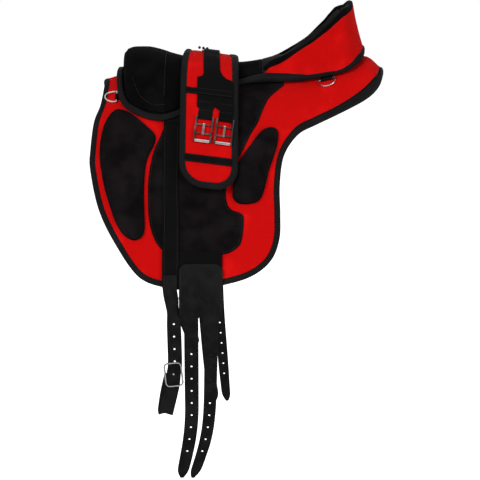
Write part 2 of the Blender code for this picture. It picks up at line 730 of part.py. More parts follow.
def build_seat(looks):
    """Seat base, skirt and the three parts of the cushion."""
    edge = smooth(both_sides(sized(SEAT_SHARES)), BINDING_WIDTH * 2)
    skirt = inset(edge, BINDING_WIDTH + EDGE_GAP)
    cushion = inset(edge, SEAT_INSET)
    layer("seat_base", looks["felt"], base_outline(), above(BASE_LOW), base_high)
    layer("seat_skirt", looks["suede"], skirt, above(SKIRT_LOW), above(SKIRT_TOP))
    rolled_edge("seat_skirt_binding", looks["tape"], inset(edge, BINDING_WIDTH / 2), BINDING_WIDTH,
                above(SKIRT_BINDING_LOW), above(SKIRT_BINDING_LOW, SKIRT_BINDING_HEIGHT))

    places, widths = seat_half_width(cushion)
    crown_places = [p * HALF_LENGTH for p in CROWN_PLACE_SHARES]

    def top(x, t):
        """Upper face of the seat: crowned in front, a dish inside the cantle."""
        width = max(float(np.interp(x, places, widths)), GAP)
        across = min(abs(t) / width, 1)
        wall = wall_height(x, t)
        return wall + (seat_crown(x) - wall) * (1 - across ** CROWN_POWER)

    cuts = sorted(x for x in set(X_STATIONS) | set(crown_places)
                  if places[0] + RIM_WIDTH / 4 < x < places[-1] - RIM_WIDTH / 4)
    hair = GAP / 2
    spans = (("pommel_roll", None, POMMEL_END - hair), ("seat_cushion", POMMEL_END + hair, CANTLE_START - hair),
             ("cantle_bolster", CANTLE_START + hair, None))
    for name, start, end in spans:
        lay = lean if name == "cantle_bolster" else place
        layer(name, looks["suede"], cushion, above(CUSHION_LOW), top, lay=lay, x_cuts=cuts,
              x_from=start, x_to=end)

    back = [p for p in edge if p[0] > CANTLE_START]
    start = next(i for i, p in enumerate(edge) if p[0] > CANTLE_START)
    back = edge[start:start + len(back)]
    outside = inset(back, SEAT_INSET - EDGE_GAP - CANTLE_PANEL / 2, closed=False)
    rolled_edge("cantle_panel", looks["red"], outside, CANTLE_PANEL, above(CUSHION_LOW, EDGE_GAP), wall_height,
                lay=lean, closed=False, sides=4)
    top_path = [p for p in inset(back, SEAT_INSET + RIM_WIDTH / 4, closed=False)
                if p[0] > RIM_START_SHARE * HALF_LENGTH]

    def rim_top(x, t):
        """Top of the rim roll, which thins out towards its ends."""
        run = (x / HALF_LENGTH - RIM_START_SHARE) / (RIM_FULL_SHARE - RIM_START_SHARE)
        share = min(max(run, 0), 1) * (1 - RIM_LEAST_SHARE) + RIM_LEAST_SHARE
        return wall_height(x, t) + EDGE_GAP * 2 + RIM_WIDTH * share

    rolled_edge("cantle_rim", looks["suede"], top_path, RIM_WIDTH,
                lambda x, t: wall_height(x, t) + EDGE_GAP * 2, rim_top, lay=lean, closed=False, sides=8)


def hang(start_t, bend_t, level, x, drop, parts):
    """Course of a strap: down the flap to bend_t, then turning to hang plumb by a drop."""
    spots = []
    normals = []
    for k in range(3):
        t = start_t + (bend_t - start_t) * k / 2
        here = frame_on(on_foam, x, t, level)
        spots.append(here.to_translation())
        normals.append(here.to_3x3().col[2].copy())
    slope = math.atan2(normals[-1][2], -normals[-1][1])
    run = drop / parts
    turn_share = 0.7
    for k in range(parts):
        angle = slope * max(0, 1 - (k + 0.5) / (parts * turn_share))
        spots.append(spots[-1] + Vector((0, -run * math.tan(angle), -run)))
        ahead = slope * max(0, 1 - (k + 1) / (parts * turn_share))
        normals.append(Vector((0, -math.cos(ahead), math.sin(ahead))))
    return spots, normals


def build_stirrup(looks):
    """Stirrup strap: web down the flap, leather and its buckle."""
    level = BASE_LOW + STIRRUP_WEB / 2
    stops = [HINGE_T - STIRRUP_WEB / 2] + [t for t in T_STATIONS if HINGE_T < t < STIRRUP_WEB_END]
    stops.append(STIRRUP_WEB_END)
    frames = [frame_on(on_foam, STIRRUP_X, t, level) for t in stops]
    centres = [f.to_translation() for f in frames]
    normals = [f.to_3x3().col[2].copy() for f in frames]
    axis = frame_on(on_foam, STIRRUP_X, HINGE_T, level).to_translation()
    web = ribbon("near_stirrup_web", looks["tape"], centres, normals,
                 [STIRRUP_WEB_WIDTH] * len(centres), STIRRUP_WEB, axis, round_top=True)
    mirror(web, "off_stirrup_web")

    build_stirrup_leather(looks, "near", STIRRUP_LEATHER_WIDTH / 2)
    build_stirrup_leather(looks, "off", STIRRUP_LEATHER_WIDTH / 8)


def stirrup_course():
    """Outer run of the stirrup leather, as places, normals and the plane it hangs in."""
    spots, normals = hang(STIRRUP_WEB_END - STIRRUP_OVERLAP, STIRRUP_WEB_END, LEATHER_MIDDLE,
                          STIRRUP_X, STIRRUP_HOLE_DROP, 6)
    return spots, normals


def build_stirrup_leather(looks, side, sway):
    """The leather that takes the stirrup iron, and the buckle that closes its loop."""
    spots, normals = stirrup_course()
    upper_shares = (0, 0, 0, 0.1, 0.25, 0.35, 0.45, 0.5, 0.55)
    twist_shares = (0, 0, 0, 0.1, 0.5, 0.9, 1, 0.8, 0.5)
    twist = math.radians(40)
    centres = []
    faces = []
    for spot, normal, share, turn in zip(spots, normals, upper_shares, twist_shares):
        centres.append(spot + Vector((sway * share, 0, 0)))
        faces.append(Matrix.Rotation(twist * turn, 3, "Z") @ normal)
    hole_top = spots[-1]
    buckle = hole_top.z - STIRRUP_BUCKLE_DROP
    bottom = buckle - STIRRUP_LOOP_DROP
    radius = (STIRRUP_LOOP_GAP + STIRRUP_LEATHER) / 2
    fold = bottom + radius + STIRRUP_LEATHER / 2
    lower_shares = (0.65, 0.45, 0.25, -0.75)
    heights = (buckle + STIRRUP_BUCKLE_HEIGHT / 2, buckle, buckle - STIRRUP_BUCKLE_HEIGHT / 2, fold)
    for z, share in zip(heights, lower_shares):
        centres.append(Vector((hole_top.x + sway * share, hole_top.y, z)))
        faces.append(Vector((0, -1, 0)))
    at_fold = centres[-1].x
    for degrees in (45, 90, 135, 180):
        turn = math.radians(degrees)
        centres.append(Vector((at_fold, hole_top.y + radius - radius * math.cos(turn),
                               fold - radius * math.sin(turn))))
        faces.append(Vector((0, -math.cos(turn), -math.sin(turn))))
    end = buckle - STIRRUP_WIRE
    back_shares = (-0.4, 0.1)
    for z, share in zip(((fold + end) / 2, end), back_shares):
        centres.append(Vector((hole_top.x + sway * share, hole_top.y + radius * 2, z)))
        faces.append(Vector((0, 1, 0)))
    leather = ribbon(f"{side}_stirrup_leather", looks["leather"], centres, faces,
                     [STIRRUP_LEATHER_WIDTH] * len(centres), STIRRUP_LEATHER, centres[1])
    stud = Vector((hole_top.x + sway * lower_shares[1], hole_top.y, buckle))
    holes = [stud]
    for k in range(4):
        share = upper_shares[-1] + (lower_shares[0] - upper_shares[-1]) * k / 4
        holes.append(hole_top + Vector((sway * share, 0, -HOLE_PITCH * k)))
    pieces = [leather] + build_stirrup_buckle(looks, side, stud)
    if side == "off":
        holes = [Vector((p.x, -p.y, p.z)) for p in holes]
        for piece in pieces:
            flip(piece)
    punch(leather, holes, f"{side}_stirrup_holes")
    unite(pieces[1], pieces[2:])


def build_stirrup_buckle(looks, side, centre):
    """Rim in front of the leather, bar behind it, and the stud that goes through a hole."""
    half = (STIRRUP_BUCKLE_WIDTH - STIRRUP_WIRE) / 2
    tall = (STIRRUP_BUCKLE_HEIGHT - STIRRUP_WIRE) / 2
    corner = STIRRUP_WIRE * 2
    level = STIRRUP_LEATHER / 2 + GAP + STIRRUP_WIRE / 2
    rim = []
    for sx, sz, start in ((1, 1, 0), (-1, 1, 90), (-1, -1, 180), (1, -1, 270)):
        middle = (sx * (half - corner), sz * (tall - corner))
        rim += [(*p, 0) for p in arc(middle, corner, start, start + 90, 3)]
    turned = Matrix.Rotation(math.radians(-6), 4, "Y") @ Matrix.Rotation(math.pi / 2, 4, "X")
    upright = Matrix.Translation(centre) @ turned
    front = upright @ Matrix.Translation((0, 0, level))
    thin = STIRRUP_WIRE - GAP
    bar = [(-half, 0, level), (-half, 0, -level), (half, 0, -level), (half, 0, level)]
    stud = [(0, 0, -level), (0, 0, level - STIRRUP_WIRE / 2)]
    return [wire(f"{side}_stirrup_buckle", looks["nickel"], rim, STIRRUP_WIRE, front, centre),
            wire(f"{side}_buckle_bar", looks["nickel"], bar, thin, upright, centre, closed=False),
            wire(f"{side}_buckle_stud", looks["nickel"], stud, HOLE - 4 * GAP, upright, centre, closed=False)]


def build_billets(looks):
    """Web and leather plate that swing from the flap, and two billets under the plate."""
    level = BASE_LOW + BILLET_WEB / 2
    start = BILLET_WEB_TOP
    stops = [start, start + (PLATE_BEND - start) / 2, PLATE_BEND]
    frames = [frame_on(on_foam, PLATE_X, t, level) for t in stops]
    centres = [f.to_translation() for f in frames]
    normals = [f.to_3x3().col[2].copy() for f in frames]
    along = (centres[1] - centres[0]).normalized()
    axis = centres[0] + along * BILLET_WEB / 2
    web = ribbon("near_billet_web", looks["tape"], centres, normals,
                 [PLATE_WIDTH - EDGE_GAP * 4] * 3, BILLET_WEB, axis, round_top=True)
    mirror(web, "off_billet_web")

    spots, faces = hang(PLATE_TOP, PLATE_BEND, PLATE_MIDDLE, PLATE_X, PLATE_DROP, 5)
    corner = PLATE * 1.6
    ends = BILLET_SPACING + BILLET_WIDTH + PLATE / 2
    steps = []
    for run, narrower in ((0, 1), (0.3, 0.3), (1, 0)):
        steps.append((spots[0].lerp(spots[2], run * corner / (spots[2] - spots[0]).length),
                      faces[0], PLATE_WIDTH - 2 * corner * narrower))
    for spot, face in zip(spots[1:-1], faces[1:-1]):
        steps.append((spot, face, PLATE_WIDTH))
    steps.append((spots[-1], faces[-1], ends))
    plate = ribbon("near_billet_plate", looks["leather"], [s[0] for s in steps], [s[1] for s in steps],
                   [s[2] for s in steps], PLATE, axis)
    mirror(plate, "off_billet_plate")

    build_billet_pair(looks, spots[-1])


def build_billet_pair(looks, plate_end):
    """Two punched billets with pointed ends that curve forward."""
    near_shares = {"front": (0, 0, 0, 0, 0, 0.05, 0.2, 0.42, 0.62, 0.69, 0.74),
                   "rear": (0, 0, 0, 0.04, 0.1, 0.2, 0.42, 0.75, 1.06, 1.2, 1.33)}
    off_shares = {"front": (0, 0, -0.1, -0.2, -0.29, -0.35, -0.41, -0.46, -0.5, -0.52, -0.54),
                  "rear": (0, 0, -0.1, -0.21, -0.3, -0.37, -0.44, -0.5, -0.55, -0.58, -0.6)}
    run_shares = (0, 0.05, 0.2, 0.4, 0.55, 0.65, 0.76, 0.86, 0.94, 0.97, 1)
    width_shares = (1, 1, 1, 1, 0.97, 0.94, 0.91, 0.88, 0.86, 0.66, 0.22)
    for side, table in (("near", near_shares), ("off", off_shares)):
        for which, place_share in (("front", -0.5), ("rear", 0.5)):
            top = plate_end + Vector((BILLET_SPACING * place_share, 0, -GAP))

            def spot(run, shares=table[which], top=top):
                """Centre of the billet at a share of its length."""
                forward = float(np.interp(run, run_shares, shares))
                return top - Vector((BILLET_WIDTH * forward, 0, BILLET_LENGTH * run))

            name = f"{side}_{which}_billet"
            centres = [spot(run) for run in run_shares]
            axis = centres[0] - Vector((0, 0, PLATE / 2))
            billet = ribbon(name, looks["leather"], centres, [Vector((0, -1, 0))] * len(centres),
                            [BILLET_WIDTH * w for w in width_shares], PLATE, axis, round_top=True)
            holes = []
            for k in range(HOLE_COUNT):
                holes.append(spot((HOLE_FIRST_BELOW_PLATE + HOLE_PITCH * k) / BILLET_LENGTH))
            if side == "off":
                flip(billet)
                holes = [Vector((p.x, -p.y, p.z)) for p in holes]
            punch(billet, holes, f"{name}_holes")


def dee_points(width, depth, diameter):
    """Centre line of a dee: straight bar on the X axis, bow below it."""
    half = (width - diameter) / 2
    drop = depth - diameter
    bow = []
    for k in range(13):
        turn = math.pi * k / 12
        bow.append((half * math.cos(turn), -drop * math.sin(turn) ** 0.8, 0))
    return bow


def build_dees(looks):
    """Front and rear dees on each side, each in a folded chape."""
    outer = DEE_WIRE / 2 + PIVOT_PLAY + CHAPE_WALL
    lift = COVER_TOP + GAP + outer
    seat = smooth(sized(SEAT_SHARES), BINDING_WIDTH, closed=False)
    front_x = min((abs(p[1] - FRONT_DEE_T), p[0]) for p in seat)[1] - outer - EDGE_GAP * 2
    rear_t = min((abs(p[0] - REAR_DEE_X), p[1]) for p in seat)[1] + outer + REAR_DEE_DROP
    front = frame_on(on_foam, front_x, FRONT_DEE_T, lift)
    front = front @ Matrix.Rotation(-math.pi / 2, 4, "Z")
    rear = frame_on(on_foam, REAR_DEE_X, rear_t, lift + GAP * 2)
    rings = (("front", front, FRONT_DEE_WIDTH, FRONT_DEE_DEPTH, FRONT_CHAPE_WIDTH),
             ("rear", rear, REAR_DEE_WIDTH, REAR_DEE_DEPTH, REAR_CHAPE_WIDTH))
    for which, matrix, width, depth, chape_width in rings:
        origin = matrix.to_translation()
        dee = wire(f"near_{which}_dee", looks["nickel"], dee_points(width, depth, DEE_WIRE), DEE_WIRE,
                   matrix, origin)
        mirror(dee, f"off_{which}_dee")
        chape = tab(f"near_{which}_chape", looks["tape"], chape_width, DEE_WIRE, CHAPE_WALL,
                    CHAPE_LENGTH, matrix, origin)
        mirror(chape, f"off_{which}_chape")


def girth_course():
    """Stations of the girth over the seat: run, width and height of its inner face."""
    rough = [(y * GIRTH_COURSE_WIDTH, GIRTH_RIDGE - z * GIRTH_COURSE_HEIGHT) for y, z in GIRTH_COURSE_SHARES]
    mirrored = [(-rough[1][0], rough[1][1])] + rough
    line = smooth(mirrored, GIRTH_COURSE_WIDTH / 60, closed=False)
    line = [p for p in line if p[0] >= -GAP / 30]
    runs = [0]
    for here, there in zip(line, line[1:]):
        runs.append(runs[-1] + (there - here).length)
    stations = [share * GIRTH_HALF_LENGTH for share in GIRTH_STATION_SHARES]
    widths = np.interp(stations, runs, [p[0] for p in line])
    heights = np.interp(stations, runs, [p[1] for p in line])
    return stations, widths, heights


GIRTH_STATIONS, GIRTH_WIDTHS, GIRTH_HEIGHTS = girth_course()


def girth_normals():
    """Outward directions of the girth at its stations."""
    normals = []
    for i in range(len(GIRTH_STATIONS)):
        before = max(i - 1, 0)
        after = min(i + 1, len(GIRTH_STATIONS) - 1)
        along = Vector((GIRTH_WIDTHS[after] - GIRTH_WIDTHS[before],
                        GIRTH_HEIGHTS[after] - GIRTH_HEIGHTS[before])).normalized()
        normals.append(Vector((0, 1)) if i == 0 else Vector((-along[1], along[0])))
    return normals


GIRTH_NORMALS = girth_normals()


def girth_place(x, s, h):
    """Lay a point of the girth: s runs down from the ridge, near side above 0."""
    run = min(abs(s), GIRTH_STATIONS[-1] * 0.9999)
    index = max(i for i, station in enumerate(GIRTH_STATIONS) if station <= run)
    share = (run - GIRTH_STATIONS[index]) / (GIRTH_STATIONS[index + 1] - GIRTH_STATIONS[index])
    ends = []
    for i in (index, index + 1):
        ends.append(Vector((GIRTH_WIDTHS[i], GIRTH_HEIGHTS[i])) + GIRTH_NORMALS[i] * h)
    spot = ends[0].lerp(ends[1], share)
    side = -1 if s > 0 else 1
    return Vector((x, side * spot[0], spot[1] - GIRTH_TILT * (x - GIRTH_X)))


GIRTH_LOW = GIRTH_BINDING_PROUD
GIRTH_TOP = GIRTH_LOW + GIRTH_BODY
STRAP_LOW = GIRTH_TOP + GAP
BAR_LEVEL = STRAP_LOW + BUCKLE_BAR * 0.707 + PIVOT_PLAY + TAB_WALL


def girth_layer(name, look, outline, low, high, **limits):
    """Cut a piece of the girth and lay it over the seat."""
    return layer(name, look, outline, lambda x, s: low, lambda x, s: high, lay=girth_place,
                 t_cuts=GIRTH_STATIONS, x_cuts=(), **limits)


def build_girth(looks):
    """Padded girth with its binding, strap, keepers, ring and buckles."""
    half = GIRTH_WIDTH / 2
    straight = GIRTH_HALF_LENGTH - GIRTH_CORNER
    edge = [Vector((GIRTH_X - half, -straight + 2 * straight * k / 14)) for k in range(15)]
    inner = half - GIRTH_CORNER
    edge += reversed(arc((GIRTH_X - inner, straight), GIRTH_CORNER, 90, 165, 5))
    edge += reversed(arc((GIRTH_X + inner, straight), GIRTH_CORNER, 15, 90, 5))
    edge += [Vector((GIRTH_X + half, straight - 2 * straight * k / 14)) for k in range(15)]
    edge += reversed(arc((GIRTH_X + inner, -straight), GIRTH_CORNER, 270, 345, 5))
    edge += reversed(arc((GIRTH_X - inner, -straight), GIRTH_CORNER, 195, 270, 5))
    body = inset(edge, GIRTH_BINDING_WIDTH + EDGE_GAP)
    girth_layer("girth_body", looks["red"], body, GIRTH_LOW, GIRTH_TOP)
    rolled_edge("girth_binding", looks["tape"], inset(edge, GIRTH_BINDING_WIDTH / 2),
                GIRTH_BINDING_WIDTH, lambda x, s: 0, lambda x, s: GIRTH_TOP + GIRTH_BINDING_PROUD,
                lay=girth_place)

    build_strap(looks)
    span = half - GIRTH_BINDING_WIDTH - EDGE_GAP * 2
    low = STRAP_LOW + STRAP + GAP
    outline = [(GIRTH_X - span, KEEPER_CENTRE - KEEPER_WIDTH / 2),
               (GIRTH_X - span, KEEPER_CENTRE + KEEPER_WIDTH / 2),
               (GIRTH_X + span, KEEPER_CENTRE + KEEPER_WIDTH / 2),
               (GIRTH_X + span, KEEPER_CENTRE - KEEPER_WIDTH / 2)]
    keeper = girth_layer("near_girth_keeper", looks["tape"], outline, low, low + KEEPER)
    mirror(keeper, "off_girth_keeper")
    build_ring(looks)
    for side in (-1, 1):
        which = "front" if side < 0 else "rear"
        build_girth_buckle(looks, which, GIRTH_X + STRAP_SHIFT + side * BUCKLE_SPACING / 2)


def build_strap(looks):
    """Strap over the ridge, widening to two folded tabs at each end."""
    neck = STRAP_NECK / 2
    slim = STRAP_WIDTH / 2
    wide = STRAP_WIDE / 2
    shoulder = STRAP_WIDE
    half = [(slim, shoulder + neck * 2), (wide, shoulder + neck * 3), (wide, STRAP_END)]
    side = [(neck, 0), (neck, STRAP_START), (slim, STRAP_START + neck)] + half

    def middle(s):
        """Centre line of the strap, which moves over towards the buckles."""
        return GIRTH_X + STRAP_SHIFT * min(s / shoulder, 1)

    outline = [(middle(s) - x, s) for x, s in side[1:]]
    outline += [(middle(s) + x, s) for x, s in reversed(side[1:])]
    outline += [(middle(s) + x, -s) for x, s in side]
    outline += [(middle(s) - x, -s) for x, s in reversed(side)]

    def hump(s):
        """Rise of the strap where it passes over the ring."""
        start = GIRTH_STATIONS[1]
        end = GIRTH_STATIONS[2]
        return (RING_WIRE + GAP) * min(max((end - abs(s)) / (end - start), 0), 1)

    strap = layer("girth_strap", looks["tape"], outline, lambda x, s: STRAP_LOW + hump(s),
                  lambda x, s: STRAP_LOW + hump(s) + STRAP, lay=girth_place,
                  t_cuts=GIRTH_STATIONS, x_cuts=())
    tabs = []
    for side in (-1, 1):
        x = GIRTH_X + STRAP_SHIFT + side * BUCKLE_SPACING / 2
        matrix = frame_on(girth_place, x, BUCKLE_TOP, BAR_LEVEL)
        piece = tab(f"strap_tab_{side}", looks["tape"], TAB_WIDTH, BUCKLE_BAR * 1.414, TAB_WALL,
                    BUCKLE_TOP - STRAP_END + STRAP, matrix, matrix.to_translation())
        tabs += [piece, mirror(piece, f"strap_tab_off_{side}")]
    unite(strap, tabs)


def build_ring(looks):
    """Ring under the strap at the ridge."""
    matrix = frame_on(girth_place, GIRTH_X, 0, STRAP_LOW + RING_WIRE / 2)
    half = (RING_WIDTH - RING_WIRE) / 2
    deep = (RING_DEPTH - RING_WIRE) / 2
    corner = RING_WIRE * 1.5
    points = []
    for sx, sy, start in ((1, 1, 0), (-1, 1, 90), (-1, -1, 180), (1, -1, 270)):
        middle = (sx * (half - corner), sy * (deep - corner))
        points += [(*p, 0) for p in arc(middle, corner, start, start + 90, 3)]
    wire("girth_ring", looks["nickel"], points, RING_WIRE, matrix, matrix.to_translation())


def build_girth_buckle(looks, which, x):
    """One roller buckle: frame with three cross bars, tongue and roller."""
    matrix = frame_on(girth_place, x, BUCKLE_TOP, BAR_LEVEL)
    origin = matrix.to_translation()
    bar = BUCKLE_BAR
    half = BUCKLE_WIDTH / 2
    length = BUCKLE_LENGTH
    bars = (0, -0.31 * length, -0.66 * length, bar - length)
    outer = box_loop(-half, half, bars[3] - bar / 2, bar / 2)
    windows = []
    for high, low in zip(bars, bars[1:]):
        windows.append(box_loop(bar - half, half - bar, low + bar / 2, high - bar / 2))
    frame = outline_solid(f"near_{which}_girth_buckle", looks["nickel"], [outer] + windows, bar, matrix,
                          origin)
    mirror(frame, f"off_{which}_girth_buckle")

    bore = bar * 0.707 + PIVOT_PLAY
    ring = bore + ROLLER_WALL
    centre_bar = matrix @ Matrix.Translation((0, bars[1], 0))
    low = bar / 2 + GAP
    high = low + TONGUE_THICKNESS
    reach = bars[1] - bars[2] + bar
    start = math.degrees(math.asin(min(high / ring, 0.98)))
    end = math.degrees(math.asin(low / ring))
    profile = [(-reach, low), (-reach, high)] + arc((0, 0), ring, 180 - start, -180 - end, 12)
    loops = [profile, arc((0, 0), bore, 0, 330, 11)]
    upright = centre_bar @ Matrix(((0, 0, 1, 0), (1, 0, 0, 0), (0, 1, 0, 0), (0, 0, 0, 1)))
    tongue = outline_solid(f"near_{which}_girth_tongue", looks["nickel"], loops, TONGUE_WIDTH, upright,
                           centre_bar.to_translation())
    mirror(tongue, f"off_{which}_girth_tongue")

    low_bar = matrix @ Matrix.Translation((0, bars[3], 0))
    upright = low_bar @ Matrix(((0, 0, 1, 0), (1, 0, 0, 0), (0, 1, 0, 0), (0, 0, 0, 1)))
    loops = [arc((0, 0), ring, 0, 330, 11), arc((0, 0), bore, 0, 330, 11)]
    roller = outline_solid(f"near_{which}_girth_roller", looks["nickel"], loops,
                           BUCKLE_WIDTH - 2 * bar - EDGE_GAP, upright, low_bar.to_translation())
    mirror(roller, f"off_{which}_girth_roller")


def make_looks():
    """The materials of the saddle."""
    return {
        "red": material("red_mesh", RED_MESH, 0.85, 0),
        "suede": material("black_suede", BLACK_SUEDE, 0.95, 0),
        "tape": material("black_tape", BLACK_TAPE, 0.8, 0),
        "leather": material("black_leather", BLACK_LEATHER, 0.45, 0),
        "felt": material("grey_felt", GREY_FELT, 0.95, 0),
        "foam": material("white_foam", FOAM_WHITE, 0.9, 0),
        "nickel": material("nickel_plate", NICKEL, 0.2, 1),
    }


def main():
    """Build the saddle."""
    clear_scene()
    looks = make_looks()
    build_panels(looks)
    build_overlay(looks)
    build_blocks(looks)
    build_seat(looks)
    build_stirrup(looks)
    build_billets(looks)
    build_dees(looks)
    build_girth(looks)


main()
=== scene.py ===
"""Looks of a treeless saddle with its padded girth laid over the seat.

Metres, +Z up, +X to the cantle and -Y to the near side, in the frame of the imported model.
Soft layers are cut flat as patterns (x along the saddle, t round the back from the spine)
and then laid at a height on the curve of the back, or on the course of the girth or strap.
"""

from __future__ import annotations

import json
import logging
import math
from dataclasses import dataclass, field
from enum import Enum
from typing import Callable, Sequence

import bmesh
import bpy
import numpy as np
from mathutils import Matrix, Vector


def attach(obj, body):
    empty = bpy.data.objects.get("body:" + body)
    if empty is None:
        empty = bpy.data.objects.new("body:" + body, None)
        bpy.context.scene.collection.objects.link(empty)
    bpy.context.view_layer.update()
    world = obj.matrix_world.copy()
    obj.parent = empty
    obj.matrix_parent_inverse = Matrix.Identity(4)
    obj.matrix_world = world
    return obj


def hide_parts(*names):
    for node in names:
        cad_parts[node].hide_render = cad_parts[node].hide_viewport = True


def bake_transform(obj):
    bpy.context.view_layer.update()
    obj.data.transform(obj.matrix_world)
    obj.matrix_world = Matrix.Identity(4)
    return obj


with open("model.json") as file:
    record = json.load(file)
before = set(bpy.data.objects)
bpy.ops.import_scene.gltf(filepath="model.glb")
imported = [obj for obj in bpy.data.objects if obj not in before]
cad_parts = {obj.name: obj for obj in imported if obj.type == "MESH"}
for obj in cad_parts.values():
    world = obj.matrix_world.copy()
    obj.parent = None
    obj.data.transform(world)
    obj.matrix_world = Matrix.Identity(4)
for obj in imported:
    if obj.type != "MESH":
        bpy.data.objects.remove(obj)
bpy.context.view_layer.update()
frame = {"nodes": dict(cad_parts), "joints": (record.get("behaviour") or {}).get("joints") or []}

LOG = logging.getLogger("saddle")
Array = np.ndarray
Lay = Callable[[Array, Array, Array], Array]
Height = Callable[[Array, Array], Array]
Socket = bpy.types.NodeSocket
Piece = bpy.types.Object
Row = tuple[float, ...]
Table = tuple[tuple[float, float], ...]
Triple = tuple[float, float, float]

SIDES = (("near", 1), ("off", -1))
ENDS = (("front", -1), ("rear", 1))
GAP = 0.0003
CELL = 0.006
PIVOT_PLAY = 0.00035
STITCH_PITCH = 0.005
STITCH_LENGTH = 0.0037
THREAD_RADIUS = 0.00042
HOLE_RADIUS = 0.0021
FADE_PATCH = 0.07
FADE_GAIN = 1.18
FADE_LIFT = 0.0012
BUMP_STRENGTH = 0.8
SHEEN_ROUGHNESS = 0.45


# Node trees and finishes


class Surface(Enum):
    """What a finish feels like, and so which effect gives its relief."""

    WOVEN = "woven mesh"
    NAPPED = "napped suede"
    RIBBED = "ribbed tape"
    TWILL = "twill web"
    GRAINED = "leather grain"
    POLISHED = "polished metal"
    FADED = "broad fading"


class Slot(Enum):
    """Material slots of the record."""

    MESH = "red_mesh"
    SUEDE = "black_suede"
    TAPE = "black_tape"
    LEATHER = "black_leather"
    FELT = "grey_felt"
    METAL = "nickel_plate"


class Wiring:
    """Adds and joins the nodes of one tree."""

    def __init__(self, tree: bpy.types.NodeTree) -> None:
        """Keep the tree.

        Args:
            tree: The node tree to work in.
        """
        self.tree = tree

    def add(self, kind: str, **settings: object) -> bpy.types.Node:
        """Add a node.

        Args:
            kind: Node type name.
            settings: Properties to set on it.

        Returns:
            The new node.
        """
        made = self.tree.nodes.new(kind)
        for name, value in settings.items():
            setattr(made, name, value)
        return made

    def feed(self, target: Socket, value: object) -> None:
        """Join a socket to the target, or set the target's own value."""
        if isinstance(value, bpy.types.NodeSocket):
            self.tree.links.new(value, target)
        else:
            target.default_value = value

    def math(self, operation: str, *values: object, clamp: bool = False) -> Socket:
        """Work out one number.

        Args:
            operation: Name of the sum.
            values: Its sockets or numbers.
            clamp: Whether to keep the result from 0 to 1.

        Returns:
            The result.
        """
        node = self.add("ShaderNodeMath", operation=operation, use_clamp=clamp)
        for target, value in zip(node.inputs, values):
            self.feed(target, value)
        return node.outputs[0]

    def scaled(self, vector: Socket, scale: Socket | float) -> Socket:
        """Scale a vector."""
        node = self.add("ShaderNodeVectorMath", operation="SCALE")
        self.feed(node.inputs[0], vector)
        self.feed(node.inputs["Scale"], scale)
        return node.outputs[0]

    def noise(self, vector: Socket, scale: Socket | float, detail: float) -> Socket:
        """Soft noise over the surface.

        Args:
            vector: Places in metres.
            scale: Features to the metre.
            detail: Octaves.

        Returns:
            The noise, about 0.5.
        """
        node = self.add("ShaderNodeTexNoise")
        self.feed(node.inputs["Vector"], vector)
        self.feed(node.inputs["Scale"], scale)
        self.feed(node.inputs["Detail"], detail)
        return node.outputs["Fac"]

    def fitted(self, value: Socket, low: float, high: float, start: object = 0.0,
               end: object = 1.0) -> Socket:
        """Turn the range from low to high into the range from start to end."""
        node = self.add("ShaderNodeMapRange", interpolation_type="SMOOTHSTEP")
        for target, number in zip(node.inputs, (value, low, high, start, end)):
            self.feed(target, number)
        return node.outputs[0]

    def mixed(self, share: Socket, first: object, second: object) -> Socket:
        """Mix two colours by a share."""
        node = self.add("ShaderNodeMix", data_type="RGBA")
        for index, value in ((0, share), (6, first), (7, second)):
            self.feed(node.inputs[index], value)
        return node.outputs[2]


